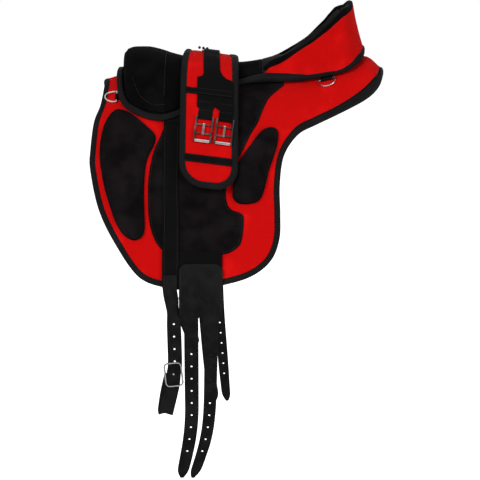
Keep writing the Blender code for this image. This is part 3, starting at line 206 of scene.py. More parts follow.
class Effect(Wiring):
    """A shader node group with the same sockets for every kind of surface."""

    def __init__(self, surface: Surface) -> None:
        """Make the group, with Vector and Pitch in, and Mask and Height out.

        Args:
            surface: What the group is for.
        """
        super().__init__(bpy.data.node_groups.new(surface.value, "ShaderNodeTree"))
        for name, way, kind in (("Vector", "INPUT", "Vector"), ("Pitch", "INPUT", "Float"),
                                ("Mask", "OUTPUT", "Float"), ("Height", "OUTPUT", "Float")):
            self.tree.interface.new_socket(name=name, in_out=way, socket_type=f"NodeSocket{kind}")
        start = self.add("NodeGroupInput")
        end = self.add("NodeGroupOutput")
        self.vector = start.outputs["Vector"]
        self.per_metre = self.math("DIVIDE", 1.0, start.outputs["Pitch"])
        makers = {Surface.WOVEN: self.woven, Surface.NAPPED: self.napped, Surface.RIBBED: self.ribbed,
                  Surface.TWILL: self.twill, Surface.GRAINED: self.grained, Surface.POLISHED: self.polished,
                  Surface.FADED: self.faded}
        for name, value in zip(("Mask", "Height"), makers[surface]()):
            self.feed(end.inputs[name], value)

    @staticmethod
    def group(surface: Surface) -> bpy.types.NodeTree:
        """The group of a surface, made once."""
        return bpy.data.node_groups.get(surface.value) or Effect(surface).tree

    def waves(self) -> tuple[Socket, Socket]:
        """Places as turns of a wave, one to each pitch."""
        parts = self.add("ShaderNodeSeparateXYZ")
        scale = self.math("MULTIPLY", self.per_metre, math.tau)
        self.feed(parts.inputs[0], self.scaled(self.vector, scale))
        return parts.outputs[0], parts.outputs[1]

    def grain(self, finer: float, detail: float) -> Socket:
        """Noise with features finer than the pitch by a factor."""
        return self.noise(self.vector, self.math("MULTIPLY", self.per_metre, finer), detail)

    def total(self, start: float, *parts: tuple[Socket, float]) -> Socket:
        """Add weighted values to a number."""
        result = start
        for value, weight in parts:
            result = self.math("MULTIPLY_ADD", value, weight, result)
        return result

    def woven(self) -> tuple[Socket, Socket]:
        """Knitted mesh: staggered loops with small open cells between them."""
        across, along = self.waves()
        cells = self.math("MULTIPLY", self.math("SINE", across), self.math("SINE", along))
        ribs = self.math("SINE", self.math("MULTIPLY", along, 2.0))
        height = self.total(0.33, (cells, 0.35), (ribs, 0.2), (self.grain(2.2, 3.0), 0.35))
        return self.fitted(height, 0.22, 0.62), height

    def napped(self) -> tuple[Socket, Socket]:
        """Suede: short nap, brushed one way in broad soft patches."""
        nap = self.grain(1.0, 4.0)
        return self.fitted(self.total(0.0, (self.grain(0.03, 2.0), 0.65), (nap, 0.35)), 0.35, 0.65), nap

    def ribbed(self) -> tuple[Socket, Socket]:
        """Tape with fine ribs across its length."""
        height = self.total(0.35, (self.math("SINE", self.waves()[0]), 0.4), (self.grain(1.6, 2.0), 0.3))
        return self.fitted(height, 0.1, 0.9), height

    def twill(self) -> tuple[Socket, Socket]:
        """Web with slanted twill lines that turn back in columns."""
        across, along = self.waves()
        line = self.math("SINE", self.math("ADD", self.math("PINGPONG", across, 12.0), along))
        height = self.total(0.5, (line, 0.45))
        return self.fitted(height, 0.1, 0.9), height

    def grained(self) -> tuple[Socket, Socket]:
        """Leather: pebbles parted by fine creases, and pores."""
        cells = self.add("ShaderNodeTexVoronoi", feature="DISTANCE_TO_EDGE")
        self.feed(cells.inputs["Vector"], self.vector)
        self.feed(cells.inputs["Scale"], self.per_metre)
        pebble = self.fitted(cells.outputs["Distance"], 0.0, 0.3)
        height = self.total(0.0, (pebble, 0.6), (self.grain(1.7, 3.0), 0.4))
        return self.fitted(self.grain(0.06, 3.0), 0.38, 0.7), height

    def polished(self) -> tuple[Socket, Socket]:
        """Plated metal: faint smudges and drawn scratches."""
        stretch = self.add("ShaderNodeMapping")
        self.feed(stretch.inputs["Vector"], self.vector)
        self.feed(stretch.inputs["Scale"], (1.0, 1.0, 9.0))
        scratch = self.noise(stretch.outputs[0], self.per_metre, 4.0)
        return self.fitted(self.grain(0.2, 2.0), 0.4, 0.68), scratch

    def faded(self) -> tuple[Socket, Socket]:
        """Broad faint fading that every finish has."""
        patches = self.grain(1.0, 5.0)
        return self.fitted(patches, 0.5, 0.72, 0.0, 0.8), patches


@dataclass(frozen=True)
class Finish:
    """One finish: its colours, gloss and relief. Colours are linear."""

    name: str
    slot: Slot
    surface: Surface
    colour: Triple
    shade: Triple
    gloss: tuple[float, float]
    pitch: float
    relief: float
    metallic: float = 0.0
    sheen: float = 0.0
    sheen_tint: Triple = (1.0, 1.0, 1.0)
    specular: float = 0.5
    mapped: bool = True

    def material(self) -> bpy.types.Material:
        """Make the material, or find it if it is there.

        Returns:
            The material.
        """
        found = bpy.data.materials.get(self.name)
        if found:
            return found
        made = bpy.data.materials.new(self.name)
        made.use_nodes = True
        wiring = Wiring(made.node_tree)
        shader = made.node_tree.nodes["Principled BSDF"]
        effects = []
        for surface, places, pitch in ((self.surface, "UV" if self.mapped else "Object", self.pitch),
                                       (Surface.FADED, "Object", FADE_PATCH)):
            effect = wiring.add("ShaderNodeGroup", node_tree=Effect.group(surface))
            wiring.feed(effect.inputs["Vector"], wiring.add("ShaderNodeTexCoord").outputs[places])
            effect.inputs["Pitch"].default_value = pitch
            effects.append(effect.outputs)
        (mask, height), (fading, _) = effects
        paler = tuple(min(1.0, c * FADE_GAIN + FADE_LIFT) for c in self.colour)
        toned = wiring.mixed(mask, (*self.shade, 1.0), (*self.colour, 1.0))
        bump = wiring.add("ShaderNodeBump")
        bump.inputs["Distance"].default_value = self.relief
        bump.inputs["Strength"].default_value = BUMP_STRENGTH
        wiring.feed(bump.inputs["Height"], height)
        for name, value in (("Base Color", wiring.mixed(fading, toned, (*paler, 1.0))),
                            ("Roughness", wiring.fitted(mask, 0.0, 1.0, *self.gloss)),
                            ("Normal", bump.outputs[0]), ("Metallic", self.metallic),
                            ("Specular IOR Level", self.specular), ("Sheen Weight", self.sheen),
                            ("Sheen Roughness", SHEEN_ROUGHNESS), ("Sheen Tint", (*self.sheen_tint, 1.0))):
            wiring.feed(shader.inputs[name], value)
        return made


RED_MESH = Finish("red knitted mesh", Slot.MESH, Surface.WOVEN, (0.56, 0.003, 0.003), (0.38, 0.0012, 0.0012),
                  (0.8, 1.0), 0.0016, 0.00035, sheen=0.05, sheen_tint=(1.0, 0.15, 0.1), specular=0.05)
SUEDE = Finish("black napped suede", Slot.SUEDE, Surface.NAPPED, (0.0072, 0.0056, 0.0060),
               (0.0022, 0.0016, 0.0018), (0.9, 1.0), 0.0011, 0.0003, sheen=0.012,
               sheen_tint=(0.8, 0.72, 0.74), specular=0.04)
# Darker copy of the suede for the seat, skirt and cantle roll: painted shade, for the seat's upper faces
# that get less light than the flaps.
SHADED_SEAT_SUEDE = Finish("black seat suede", Slot.SUEDE, Surface.NAPPED, (0.0036, 0.0032, 0.0034),
                    (0.0012, 0.0010, 0.0011), (0.9, 1.0), 0.0011, 0.0003, sheen=0.008, specular=0.03)
# Paler copy of the suede for the cantle pad, with more sheen: painted light on the inside of the cantle
# where the lights fall on it.
LIT_DISH_SUEDE = Finish("worn seat suede", Slot.SUEDE, Surface.NAPPED, (0.0125, 0.0115, 0.0102),
                    (0.0048, 0.0044, 0.004), (0.85, 1.0), 0.0011, 0.0003, sheen=0.03, specular=0.05)
BINDING = Finish("black ribbed binding", Slot.TAPE, Surface.RIBBED, (0.0056, 0.0056, 0.0063),
                 (0.0026, 0.0026, 0.003), (0.7, 0.9), 0.0011, 0.0002, sheen=0.01, specular=0.12)
WEB = Finish("black strap web", Slot.TAPE, Surface.TWILL, (0.0042, 0.0037, 0.0040), (0.0016, 0.0014, 0.0016),
             (0.75, 0.95), 0.0016, 0.0003, sheen=0.006, specular=0.06)
LEATHER = Finish("black grained leather", Slot.LEATHER, Surface.GRAINED, (0.0072, 0.0072, 0.0075),
                 (0.0036, 0.0036, 0.0038), (0.42, 0.6), 0.0013, 0.00012, specular=0.06)
LINING = Finish("dark felt lining", Slot.SUEDE, Surface.NAPPED, (0.022, 0.021, 0.021), (0.012, 0.011, 0.011),
                (0.9, 1.0), 0.0014, 0.0003, sheen=0.1, specular=0.1)
FELT = Finish("charcoal felt", Slot.FELT, Surface.NAPPED, (0.008, 0.007, 0.0075), (0.004, 0.0035, 0.004),
              (0.9, 1.0), 0.0016, 0.0004, sheen=0.01, specular=0.04)
THREAD = Finish("black waxed thread", Slot.TAPE, Surface.TWILL, (0.011, 0.011, 0.012),
                (0.006, 0.006, 0.0065), (0.5, 0.7), 0.0006, 0.00008, specular=0.4, mapped=False)
NICKEL = Finish("bright nickel plate", Slot.METAL, Surface.POLISHED, (0.58, 0.57, 0.55), (0.4, 0.39, 0.37),
                (0.12, 0.24), 0.004, 0.00001, metallic=1.0, mapped=False)
# Darkened copy of the nickel for the girth buckles: the low base colour is a painted dark reflection of the
# surroundings.
DARK_REFLECTION_NICKEL = Finish("dark nickel plate", Slot.METAL, Surface.POLISHED, (0.20, 0.19, 0.18), (0.11, 0.105, 0.10),
                  (0.18, 0.34), 0.004, 0.00001, metallic=1.0, mapped=False)


# Outlines and meshes


def flowing(at: Array | float, places: Sequence[float], values: Sequence[float]) -> Array:
    """Read a smooth curve through a table, without overshoot.

    Args:
        at: Where to read it.
        places: Places of the table, rising.
        values: Values there.

    Returns:
        The values at the given places.
    """
    x = np.asarray(places, float)
    y = np.asarray(values, float)
    h = np.diff(x)
    d = np.diff(y) / h
    m = np.concatenate([[d[0]], np.zeros(len(d) - 1), [d[-1]]])
    safe = np.where(d == 0, 1, d)
    first = 2 * h[1:] + h[:-1]
    second = h[1:] + 2 * h[:-1]
    mean = (first + second) / (first / safe[:-1] + second / safe[1:] + 1e-12)
    m[1:-1] = np.where(d[:-1] * d[1:] > 0, mean, 0)
    at = np.asarray(at, float)
    k = np.clip(np.searchsorted(x, at, side="right") - 1, 0, len(h) - 1)
    u = np.clip((at - x[k]) / h[k], 0, 1)
    v = 1 - u
    return ((1 + 2 * u) * v * v * y[k] + u * v * v * h[k] * m[k]
            + u * u * (3 - 2 * u) * y[k + 1] - u * u * v * h[k] * m[k + 1])


def trace(points: Sequence[Sequence[float]], spacing: float, closed: bool = True) -> Array:
    """Even points along a smooth curve through the given ones.

    Args:
        points: Points that the curve passes.
        spacing: Distance between the points wanted.
        closed: Whether the curve returns to its start.

    Returns:
        The points, without the start again at the end of a closed curve.
    """
    given = np.asarray(points, float)
    count = len(given)
    index = np.arange(count if closed else count - 1)

    def pick(step: int) -> Array:
        """Neighbours at a step along the row."""
        j = index + step
        return given[j % count] if closed else given[np.clip(j, 0, count - 1)]

    a, b, c, d = (pick(step) for step in (-1, 0, 1, 2))
    u = np.linspace(0, 1, 14, endpoint=False)[:, None, None]
    curve = 0.5 * (2 * b + (c - a) * u + (2 * a - 5 * b + 4 * c - d) * u * u
                   + (3 * b - a - 3 * c + d) * u ** 3)
    curve = curve.transpose(1, 0, 2).reshape(-1, given.shape[1])
    curve = np.vstack([curve, given[:1] if closed else given[-1:]])
    return evened(curve, spacing)[:-1] if closed else evened(curve, spacing)


def lengths(points: Array) -> Array:
    """Run along a polyline to each of its points."""
    return np.concatenate([[0], np.cumsum(np.linalg.norm(np.diff(points, axis=0), axis=1))])


def looked_up(at: Array, runs: Array, table: Array) -> Array:
    """Rows of a table at runs between its own."""
    return np.stack([np.interp(at, runs, column) for column in table.T], -1)


def unit(vectors: Array) -> Array:
    """The same directions with a length of 1."""
    return vectors / np.maximum(np.linalg.norm(vectors, axis=-1, keepdims=True), 1e-12)


def evened(curve: Array, spacing: float) -> Array:
    """Even points along a polyline, both ends kept."""
    runs = lengths(curve)
    return looked_up(np.linspace(0, runs[-1], max(2, round(runs[-1] / spacing)) + 1), runs, curve)


def headings(points: Array, closed: bool) -> Array:
    """Unit direction of travel at each point of a path."""
    if closed:
        return unit(np.roll(points, -1, axis=0) - np.roll(points, 1, axis=0))
    return unit(np.gradient(points, axis=0))


def rightwards(points: Array, closed: bool) -> Array:
    """Unit direction to the right of travel at each point of a flat path."""
    along = headings(points, closed)
    return np.stack([along[:, 1], -along[:, 0]], -1)


def inset(points: Array, distance: float | Array, closed: bool = True) -> Array:
    """Move a flat path to the right of its travel, which is inwards for an outline."""
    return points + rightwards(points, closed) * np.asarray(distance)[..., None]


def anticlockwise(outline: Array) -> bool:
    """Whether a flat outline runs anticlockwise."""
    x, t = outline.T
    return bool(np.sum(x * np.roll(t, -1) - t * np.roll(x, -1)) > 0)


def both_sides(half: Sequence[Sequence[float]]) -> Array:
    """Close a near half outline with its mirror image."""
    near = [tuple(p) for p in half]
    return np.array(near + [(x, -t) for x, t in reversed(near) if t > 1e-6])


def clipped(outline: Array, low: float, high: float) -> Array:
    """Keep the part of an outline between two places along the saddle."""
    for limit, sign in ((low, 1), (high, -1)):
        kept = []
        for here, there in zip(outline, np.roll(outline, -1, axis=0)):
            a = (here[0] - limit) * sign
            b = (there[0] - limit) * sign
            if a >= 0:
                kept.append(here)
            if a * b < 0:
                kept.append(here + (there - here) * a / (a - b))
        outline = np.array(kept)
    return outline


def edge_distance(x: Array, t: Array, outline: Array) -> Array:
    """Distance of flat points to the nearest side of an outline."""
    start = outline
    side = np.roll(outline, -1, axis=0) - start
    away = np.stack([x, t], -1)[:, None, :] - start[None]
    share = (away * side).sum(-1) / np.maximum((side * side).sum(-1), 1e-12)
    near = away - np.clip(share, 0, 1)[..., None] * side
    return np.sqrt((near * near).sum(-1)).min(1)


def placed(name: str, data: bpy.types.ID) -> Piece:
    """Put a new object in the scene."""
    made = bpy.data.objects.new(name, data)
    bpy.context.scene.collection.objects.link(made)
    return made


def build(name: str, verts: Array, faces: Sequence[Sequence[int]], uvs: Array, finish: Finish,
          sharp: float = 50) -> Piece:
    """Make a smooth object from points and faces.

    Args:
        name: Name of the piece.
        verts: Its points.
        faces: Its faces, as indices of points.
        uvs: Places on the pattern, one to each point.
        finish: What it is finished in.
        sharp: Angle in degrees over which an edge stays sharp.

    Returns:
        The object, with the finish.
    """
    mesh = bpy.data.meshes.new(name)
    mesh.from_pydata([tuple(v) for v in verts], [], faces)
    layer = mesh.uv_layers.new(name="Pattern")
    index = np.zeros(len(mesh.loops), np.int32)
    mesh.loops.foreach_get("vertex_index", index)
    layer.data.foreach_set("uv", np.asarray(uvs, np.float32)[index].ravel())
    bm = bmesh.new()
    bm.from_mesh(mesh)
    bmesh.ops.recalc_face_normals(bm, faces=bm.faces)
    if bm.calc_volume(signed=True) < 0:
        bmesh.ops.reverse_faces(bm, faces=bm.faces)
    bm.to_mesh(mesh)
    bm.free()
    mesh.shade_smooth()
    mesh.set_sharp_from_angle(angle=math.radians(sharp))
    made = placed(name, mesh)
    mesh.materials.append(finish.material())
    LOG.info("made %s with %d faces", name, len(mesh.polygons))
    return made


def quilt(outline: Array, spacing: float) -> tuple[Array, list, list]:
    """Fill an outline with small cells.

    Args:
        outline: Flat outline.
        spacing: Size of a cell.

    Returns:
        Flat points, faces, and the points of the edge in order.
    """
    bm = bmesh.new()
    bm.faces.new([bm.verts.new((x, t, 0)) for x, t in outline])
    for axis in (0, 1):
        low = outline[:, axis].min()
        high = outline[:, axis].max()
        places = np.linspace(low, high, max(2, round((high - low) / spacing)) + 1)[1:-1]
        normal = Vector((1 - axis, axis, 0))
        for at in places:
            cells = [f for f in bm.faces
                     if min(v.co[axis] for v in f.verts) < at < max(v.co[axis] for v in f.verts)]
            edges = {e for f in cells for e in f.edges}
            verts = {v for f in cells for v in f.verts}
            bmesh.ops.bisect_plane(bm, geom=[*verts, *edges, *cells], dist=1e-6,
                                   plane_co=normal * float(at), plane_no=normal)
    bm.verts.index_update()
    points = np.array([v.co[:2] for v in bm.verts])
    faces = [[v.index for v in f.verts] for f in bm.faces]
    follow = {}
    for edge in bm.edges:
        if edge.is_boundary:
            loop = edge.link_loops[0]
            follow[loop.vert.index] = loop.link_loop_next.vert.index
    bm.free()
    start = next(iter(follow))
    ring = [start]
    while follow[ring[-1]] != start:
        ring.append(follow[ring[-1]])
    return points, faces, ring


def slab(name: str, outline: Array, low: Height, high: Height, lay: Lay, finish: Finish,
         spacing: float, edge: float) -> Piece:
    """Cut a pattern with rounded edges and lay it.

    Args:
        name: Name of the piece.
        outline: Its flat outline.
        low: Height of its lower face.
        high: Height of its upper face.
        lay: What it is laid on.
        finish: What it is finished in.
        spacing: Size of its cells.
        edge: Radius of its edges.

    Returns:
        The piece.
    """
    outline = outline[::-1] if anticlockwise(outline) else outline
    points, faces, ring = quilt(inset(outline, edge), spacing)
    border = points[ring]
    out = rightwards(border, True) * (1 if anticlockwise(border) else -1)
    top = high(*points.T)
    bottom = low(*points.T)
    room = np.minimum(edge, (top - bottom)[ring] * 0.49)
    flat = [points, points]
    heights = [top, bottom]
    for face, sign, angles in ((top, -1, (30, 60, 90)), (bottom, 1, (90, 60, 30))):
        for turn in map(math.radians, angles):
            flat.append(border + out * edge * math.sin(turn))
            heights.append(face[ring] + sign * room * (1 - math.cos(turn)))
    spots = np.vstack(flat)
    count = len(points)
    rings = [list(ring)] + [list(range(2 * count + k * len(ring), 2 * count + (k + 1) * len(ring)))
                            for k in range(6)] + [[i + count for i in ring]]
    made = [list(f) for f in faces] + [[i + count for i in reversed(f)] for f in faces]
    for here, there in zip(rings, rings[1:]):
        for k in range(len(ring)):
            n = (k + 1) % len(ring)
            made.append([here[k], there[k], there[n], here[n]])
    return build(name, lay(*spots.T, np.concatenate(heights)), made, spots, finish)


def tube(rings: Array, closed: bool) -> list[list[int]]:
    """Faces that skin rings of points, with caps on an open row."""
    count, around = rings.shape[:2]
    faces = []
    for i in range(count if closed else count - 1):
        j = (i + 1) % count
        for k in range(around):
            n = (k + 1) % around
            faces.append([i * around + k, i * around + n, j * around + n, j * around + k])
    if not closed:
        faces.append(list(range(around))[::-1])
        faces.append([(count - 1) * around + k for k in range(around)])
    return faces


def band(name: str, path: Array, width: float | Array, low: Height, high: Height, lay: Lay, finish: Finish,
         closed: bool = True, sides: int = 14, square: float = 0.75) -> Piece:
    """Run a rounded band along a path on the pattern.

    Args:
        name: Name of the piece.
        path: Its middle line on the pattern.
        width: Its width.
        low: Height of its lower side.
        high: Height of its upper side.
        lay: What it is laid on.
        finish: What it is finished in.
        closed: Whether it returns to its start.
        sides: Points round its section.
        square: Power that makes the section squarer as it falls under 1.

    Returns:
        The piece.
    """
    bottom = low(*path.T)
    top = high(*path.T)
    share = np.ones(len(path))
    if not closed:
        share[:2] = (0.35, 0.8)
        share[-2:] = (0.8, 0.35)
    turn = math.tau * (np.arange(sides) + 0.5) / sides
    cos, sin = (np.sign(part) * np.abs(part) ** square for part in (np.cos(turn), np.sin(turn)))
    wide = np.broadcast_to(width, len(path)) * share
    spots = path[:, None, :] + rightwards(path, closed)[:, None, :] * (wide[:, None] / 2 * cos)[..., None]
    level = ((bottom + top) / 2)[:, None] + ((top - bottom) / 2 * share)[:, None] * sin
    step = np.linalg.norm(np.diff(path, axis=0), axis=1).mean()
    run = np.repeat(np.arange(len(path)) * step, sides)
    uvs = np.stack([run, np.tile(turn * wide.mean() / 4, len(path))], -1)
    return build(name, lay(*spots.reshape(-1, 2).T, level.ravel()), tube(spots, closed), uvs, finish)


def ribbon(name: str, centres: Array, outs: Array, widths: Array, thickness: float, finish: Finish,
           corner: float = 0.0006) -> Piece:
    """Run a flat strap with rounded edges through its centres.

    Args:
        name: Name of the piece.
        centres: Points of its middle line.
        outs: Directions out of its face, one to each point.
        widths: Its width at each point.
        thickness: Its thickness.
        finish: What it is finished in.
        corner: Radius of its edges.

    Returns:
        The piece.
    """
    along = headings(centres, False)
    across = unit(np.cross(along, outs))
    out = np.cross(across, along)
    half = thickness / 2
    corner = min(corner, half * 0.95)
    arc = np.radians([10, 45, 80])
    columns = np.linspace(-0.94, 0.94, 5)
    lift = half - corner + corner * np.sin(arc)
    b = np.concatenate([np.full(5, half), lift[::-1], -lift, np.full(5, -half), -lift[::-1], lift])
    a = []
    for reach in np.asarray(widths) / 2 - corner:
        side = reach + corner * np.cos(arc)
        a.append(np.concatenate([columns * reach, side[::-1], side, -columns * reach, -side[::-1], -side]))
    a = np.array(a)
    rings = centres[:, None, :] + across[:, None, :] * a[..., None] + out[:, None, :] * b[:, None]
    uvs = np.stack([a.ravel(), np.repeat(lengths(centres), a.shape[1])], -1)
    return build(name, rings.reshape(-1, 3), tube(rings, False), uvs, finish)


def frames(lay: Lay, x: Array | float, t: Array, h: Array | float) -> tuple[Array, Array]:
    """Places on a laid surface and the directions out of it."""
    x, t, h = np.broadcast_arrays(x, t, h)
    step = 0.0004
    along = lay(x + step, t, h) - lay(x - step, t, h)
    down = lay(x, t + step, h) - lay(x, t - step, h)
    return lay(x, t, h), unit(np.cross(down, along))


def stitches(name: str, points: Array, outs: Array) -> Piece:
    """Lay a row of stitches along a line.

    Args:
        name: Name of the piece.
        points: Points of the line.
        outs: Directions out of the cloth there.

    Returns:
        The row as one piece.
    """
    around = 5
    line = evened(np.hstack([points, outs * 1e-4]), STITCH_PITCH)
    spots = line[:, :3]
    out = unit(line[:, 3:])
    along = headings(spots, False)
    verts = []
    faces = []
    for place, up, run, side in zip(spots, out, along, np.cross(out, along)):
        start = len(verts)
        verts.append(place - run * STITCH_LENGTH / 2)
        for share in (-0.3, 0.3):
            for turn in math.tau * np.arange(around) / around:
                verts.append(place + run * STITCH_LENGTH * share + side * THREAD_RADIUS * math.cos(turn)
                             + up * THREAD_RADIUS * (0.5 + math.sin(turn)))
        verts.append(place + run * STITCH_LENGTH / 2)
        for k in range(around):
            n = (k + 1) % around
            faces.append([start, start + 1 + n, start + 1 + k])
            faces.append([start + 1 + k, start + 1 + n, start + 6 + n, start + 6 + k])
            faces.append([start + 11, start + 6 + k, start + 6 + n])
    verts = np.array(verts)
    return build(name, verts, faces, verts[:, :2], THREAD, sharp=80)


def laid_stitches(name: str, path: Array, level: Height, lay: Lay) -> Piece:
    """Lay a row of stitches along a path on the pattern."""
    path = evened(path, 0.004)
    return stitches(name, *frames(lay, *path.T, level(*path.T)))


def punch(piece: Piece, centres: Sequence[Sequence[float]]) -> None:
    """Cut round holes across a strap that hangs plumb.

    Args:
        piece: The strap.
        centres: Middles of the holes.
    """
    bm = bmesh.new()
    for centre in centres:
        turned = Matrix.Translation(Vector(centre)) @ Matrix.Rotation(math.pi / 2, 4, "X")
        bmesh.ops.create_cone(bm, cap_ends=True, segments=16, radius1=HOLE_RADIUS, radius2=HOLE_RADIUS,
                              depth=0.02, matrix=turned)
    mesh = bpy.data.meshes.new(piece.name + "_cutter")
    bm.to_mesh(mesh)
    bm.free()
    cutter = placed(mesh.name, mesh)
    holes = piece.modifiers.new("holes", "BOOLEAN")
    holes.object = cutter
    holes.solver = "EXACT"
    bpy.context.view_layer.update()
    punched = bpy.data.meshes.new_from_object(piece.evaluated_get(bpy.context.evaluated_depsgraph_get()))
    piece.modifiers.clear()
    piece.data = punched
    bpy.data.objects.remove(cutter)


def joint_place(name: str) -> tuple[Array, Array]:
    """Place and axis of a hinge of the frame."""
    joint = next(j for j in frame["joints"] if j["name"] == name)
    return np.array(joint["pos_m"]), np.array(joint["axis"])


# What the layers are laid on


@dataclass(frozen=True)
class Back:
    """Curve of the back under the saddle, and the panels' swell over it."""

    half_length: float = 0.295
    flap_drop: float = 0.466
    slope: float = math.radians(76)
    spread: float = 0.105
    rear_rise: float = 0.020
    panel: float = 0.020
    flap: float = 0.010
    rear_swell: float = 0.025
    x_shares: Row = (
        -1.0, -0.93, -0.885, -0.847, 0, 0.203, 0.373, 0.542, 0.678, 0.797, 0.875, 0.915, 0.942, 1.0)
    t_shares: Row = (
        0, 0.022, 0.045, 0.071, 0.099, 0.129, 0.161, 0.197, 0.24, 0.294, 0.365, 0.461, 0.59, 0.74, 0.89,
        1.03)
    front_shares: Row = (0.5, 0.52, 0.85, 1, 1, 1, 1, 1, 1, 1, 1, 1, 1, 1)
    swell_shares: Row = (0, 0, 0, 0, 0, 0, 0.1, 0.4, 0.75, 1, 1, 0.75, 0.3, -0.4)
    side_shares: Row = (1, 1, 1, 1, 1, 1, 0.75, 0.4, 0.15, 0, 0, 0, 0, 0, 0, 0)
    step_shares: Row = (0, 0, 0, 0, 0, 0, 0, 0, 0, 0, 0.5, 1, 1, 1, 1, 1)
    runs: Array = field(default_factory=lambda: np.linspace(0, 0.5, 1001))
    soft_x: Array = field(default_factory=lambda: np.linspace(-0.011, 0.011, 7))
    soft_t: Array = field(default_factory=lambda: np.linspace(-0.009, 0.009, 5))

    def along_x(self, x: Array, shares: Sequence[float]) -> Array:
        """Read a table along the saddle, softened over a finger's width."""
        places = np.array(self.x_shares) * self.half_length
        return np.mean([flowing(x + step, places, shares) for step in self.soft_x], axis=0)

    def down_t(self, t: Array, shares: Sequence[float]) -> Array:
        """Read a table down the flap, softened over a finger's width."""
        places = np.array(self.t_shares) * self.flap_drop
        return np.mean([flowing(np.abs(t) + step, places, shares) for step in self.soft_t], axis=0)

    def slope_at(self, t: Array) -> Array:
        """Slope of the back at a run from the spine."""
        return self.slope * (1 - np.exp(-np.abs(t) / self.spread))

    def __call__(self, x: Array, t: Array, h: Array) -> Array:
        """Lay points of a pattern.

        Args:
            x: Places along the saddle.
            t: Runs from the spine, near side above 0.
            h: Heights over the back.

        Returns:
            Points in space.
        """
        slopes = self.slope_at(self.runs)
        width, fall = (np.concatenate([[0], np.cumsum((part[1:] + part[:-1]) * self.runs[1] / 2)])
                       for part in (np.cos(slopes), np.sin(slopes)))
        run = np.abs(t)
        slope = self.slope_at(run)
        side = np.where(np.asarray(t) > 0, -1.0, 1.0)
        rise = self.rear_rise * (np.maximum(x, 0) / self.half_length) ** 2
        y = side * (np.interp(run, self.runs, width) + h * np.sin(slope))
        z = h * np.cos(slope) - np.interp(run, self.runs, fall) + rise
        return np.stack(np.broadcast_arrays(x, y, z), -1)

    def foam(self, x: Array, t: Array) -> Array:
        """Height of the panels' upper face."""
        swell = self.along_x(x, self.swell_shares) * self.down_t(t, self.side_shares)
        return self.panel * self.along_x(x, self.front_shares) + self.rear_swell * swell

    def under(self, x: Array, t: Array) -> Array:
        """Height of the lining's lower face."""
        room = self.panel * self.along_x(x, self.front_shares) - (self.panel - self.flap)
        return np.maximum(room, 0) * self.down_t(t, self.step_shares)

    def above(self, level: float) -> Height:
        """Make a height that stands at a level over the panels."""
        return lambda x, t: self.foam(x, t) + level

    def over(self, x: Array, t: Array, h: Array) -> Array:
        """Lay points at heights over the panels."""
        return self(x, t, self.foam(x, t) + h)

    def sized(self, shares: Sequence[Sequence[float]]) -> list[tuple[float, float]]:
        """Turn shares of an outline into places on the pattern."""
        return [(x * self.half_length, t * self.flap_drop) for x, t in shares]


BACK = Back()


@dataclass(frozen=True)
class Layers:
    """Levels of the layers over the panels."""

    cover: float = 0.0018
    overlay: float = 0.0037
    base: float = 0.0040
    skirt: float = 0.0075
    skirt_top: float = 0.0100
    cushion: float = 0.0103


LAYERS = Layers()


def settle(piece: Piece, body: str, *nodes: str, fill: float = 0.0) -> None:
    """Put a piece on its body, in the place of its CAD nodes.

    Args:
        piece: The piece.
        body: Body it moves with.
        nodes: Nodes it stands for.
        fill: How full its padding is, or 0 for none; not used.
    """
    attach(piece, body)
    if nodes:
        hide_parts(*nodes)


def mirror(piece: Piece, name: str) -> Piece:
    """Copy a near piece to the off side."""
    mesh = piece.data.copy()
    mesh.name = name
    mesh.transform(Matrix.Scale(-1, 4, (0, 1, 0)))
    mesh.flip_normals()
    made = placed(name, mesh)
    return made


def pair(near: Piece, body: str, node: str = "", fill: float = 0.0) -> None:
    """Settle a near piece, and its mirror image on the off side.

    Args:
        near: The near piece, whose name starts with near_.
        body: Body that the near piece moves with.
        node: Node that the near piece stands for, if it does.
        fill: How full their padding is, or 0 for none.
    """
    off = mirror(near, near.name.replace("near_", "off_"))
    for piece, side in ((near, "near_"), (off, "off_")):
        nodes = (node.replace("near_", side),) if node else ()
        settle(piece, body.replace("near_", side), *nodes, fill=fill)


def turned_over(piece: Piece) -> Piece:
    """Take a piece from the near side to the off side."""
    made = mirror(piece, f"{piece.name}_hung")
    bpy.data.objects.remove(piece)
    return made


def bind_edge(name: str, edge: Array, wide: float | Array, seam: float | Array,
              heights: tuple[Height, Height], lay: Lay, place: tuple[str, str], sunk: float,
              square: float = 0.75) -> None:
    """Bind an edge with tape and stitch the tape down.

    Args:
        name: Start of the names of the two pieces.
        edge: The edge's outline.
        wide: Width of the tape.
        seam: Distance of the stitches from the edge.
        heights: Heights of the tape's lower and upper side.
        lay: What it is laid on.
        place: Body, and the node that the tape stands for.
        sunk: How far the stitches lie under the tape's top.
        square: Power that makes the section squarer as it falls under 1.
    """
    low, high = heights
    tape = band(f"{name}_edge_binding", inset(edge, wide / 2), wide, low, high, lay, BINDING, square=square)
    settle(tape, *place)
    line = inset(edge, seam)
    line = np.vstack([line, line[:1]])
    settle(laid_stitches(f"{name}_edge_stitches", line, lambda x, t: high(x, t) - sunk, lay), place[0])


def softness(x: Array, t: Array, depth: float) -> Array:
    """Slow unevenness of hand-sewn cloth over padding."""
    wave = np.sin(41 * x + 23 * t) * np.sin(67 * t - 19 * x + 1.3) + 0.6 * np.sin(113 * x - 87 * t + 0.7)
    return depth * wave / 1.6


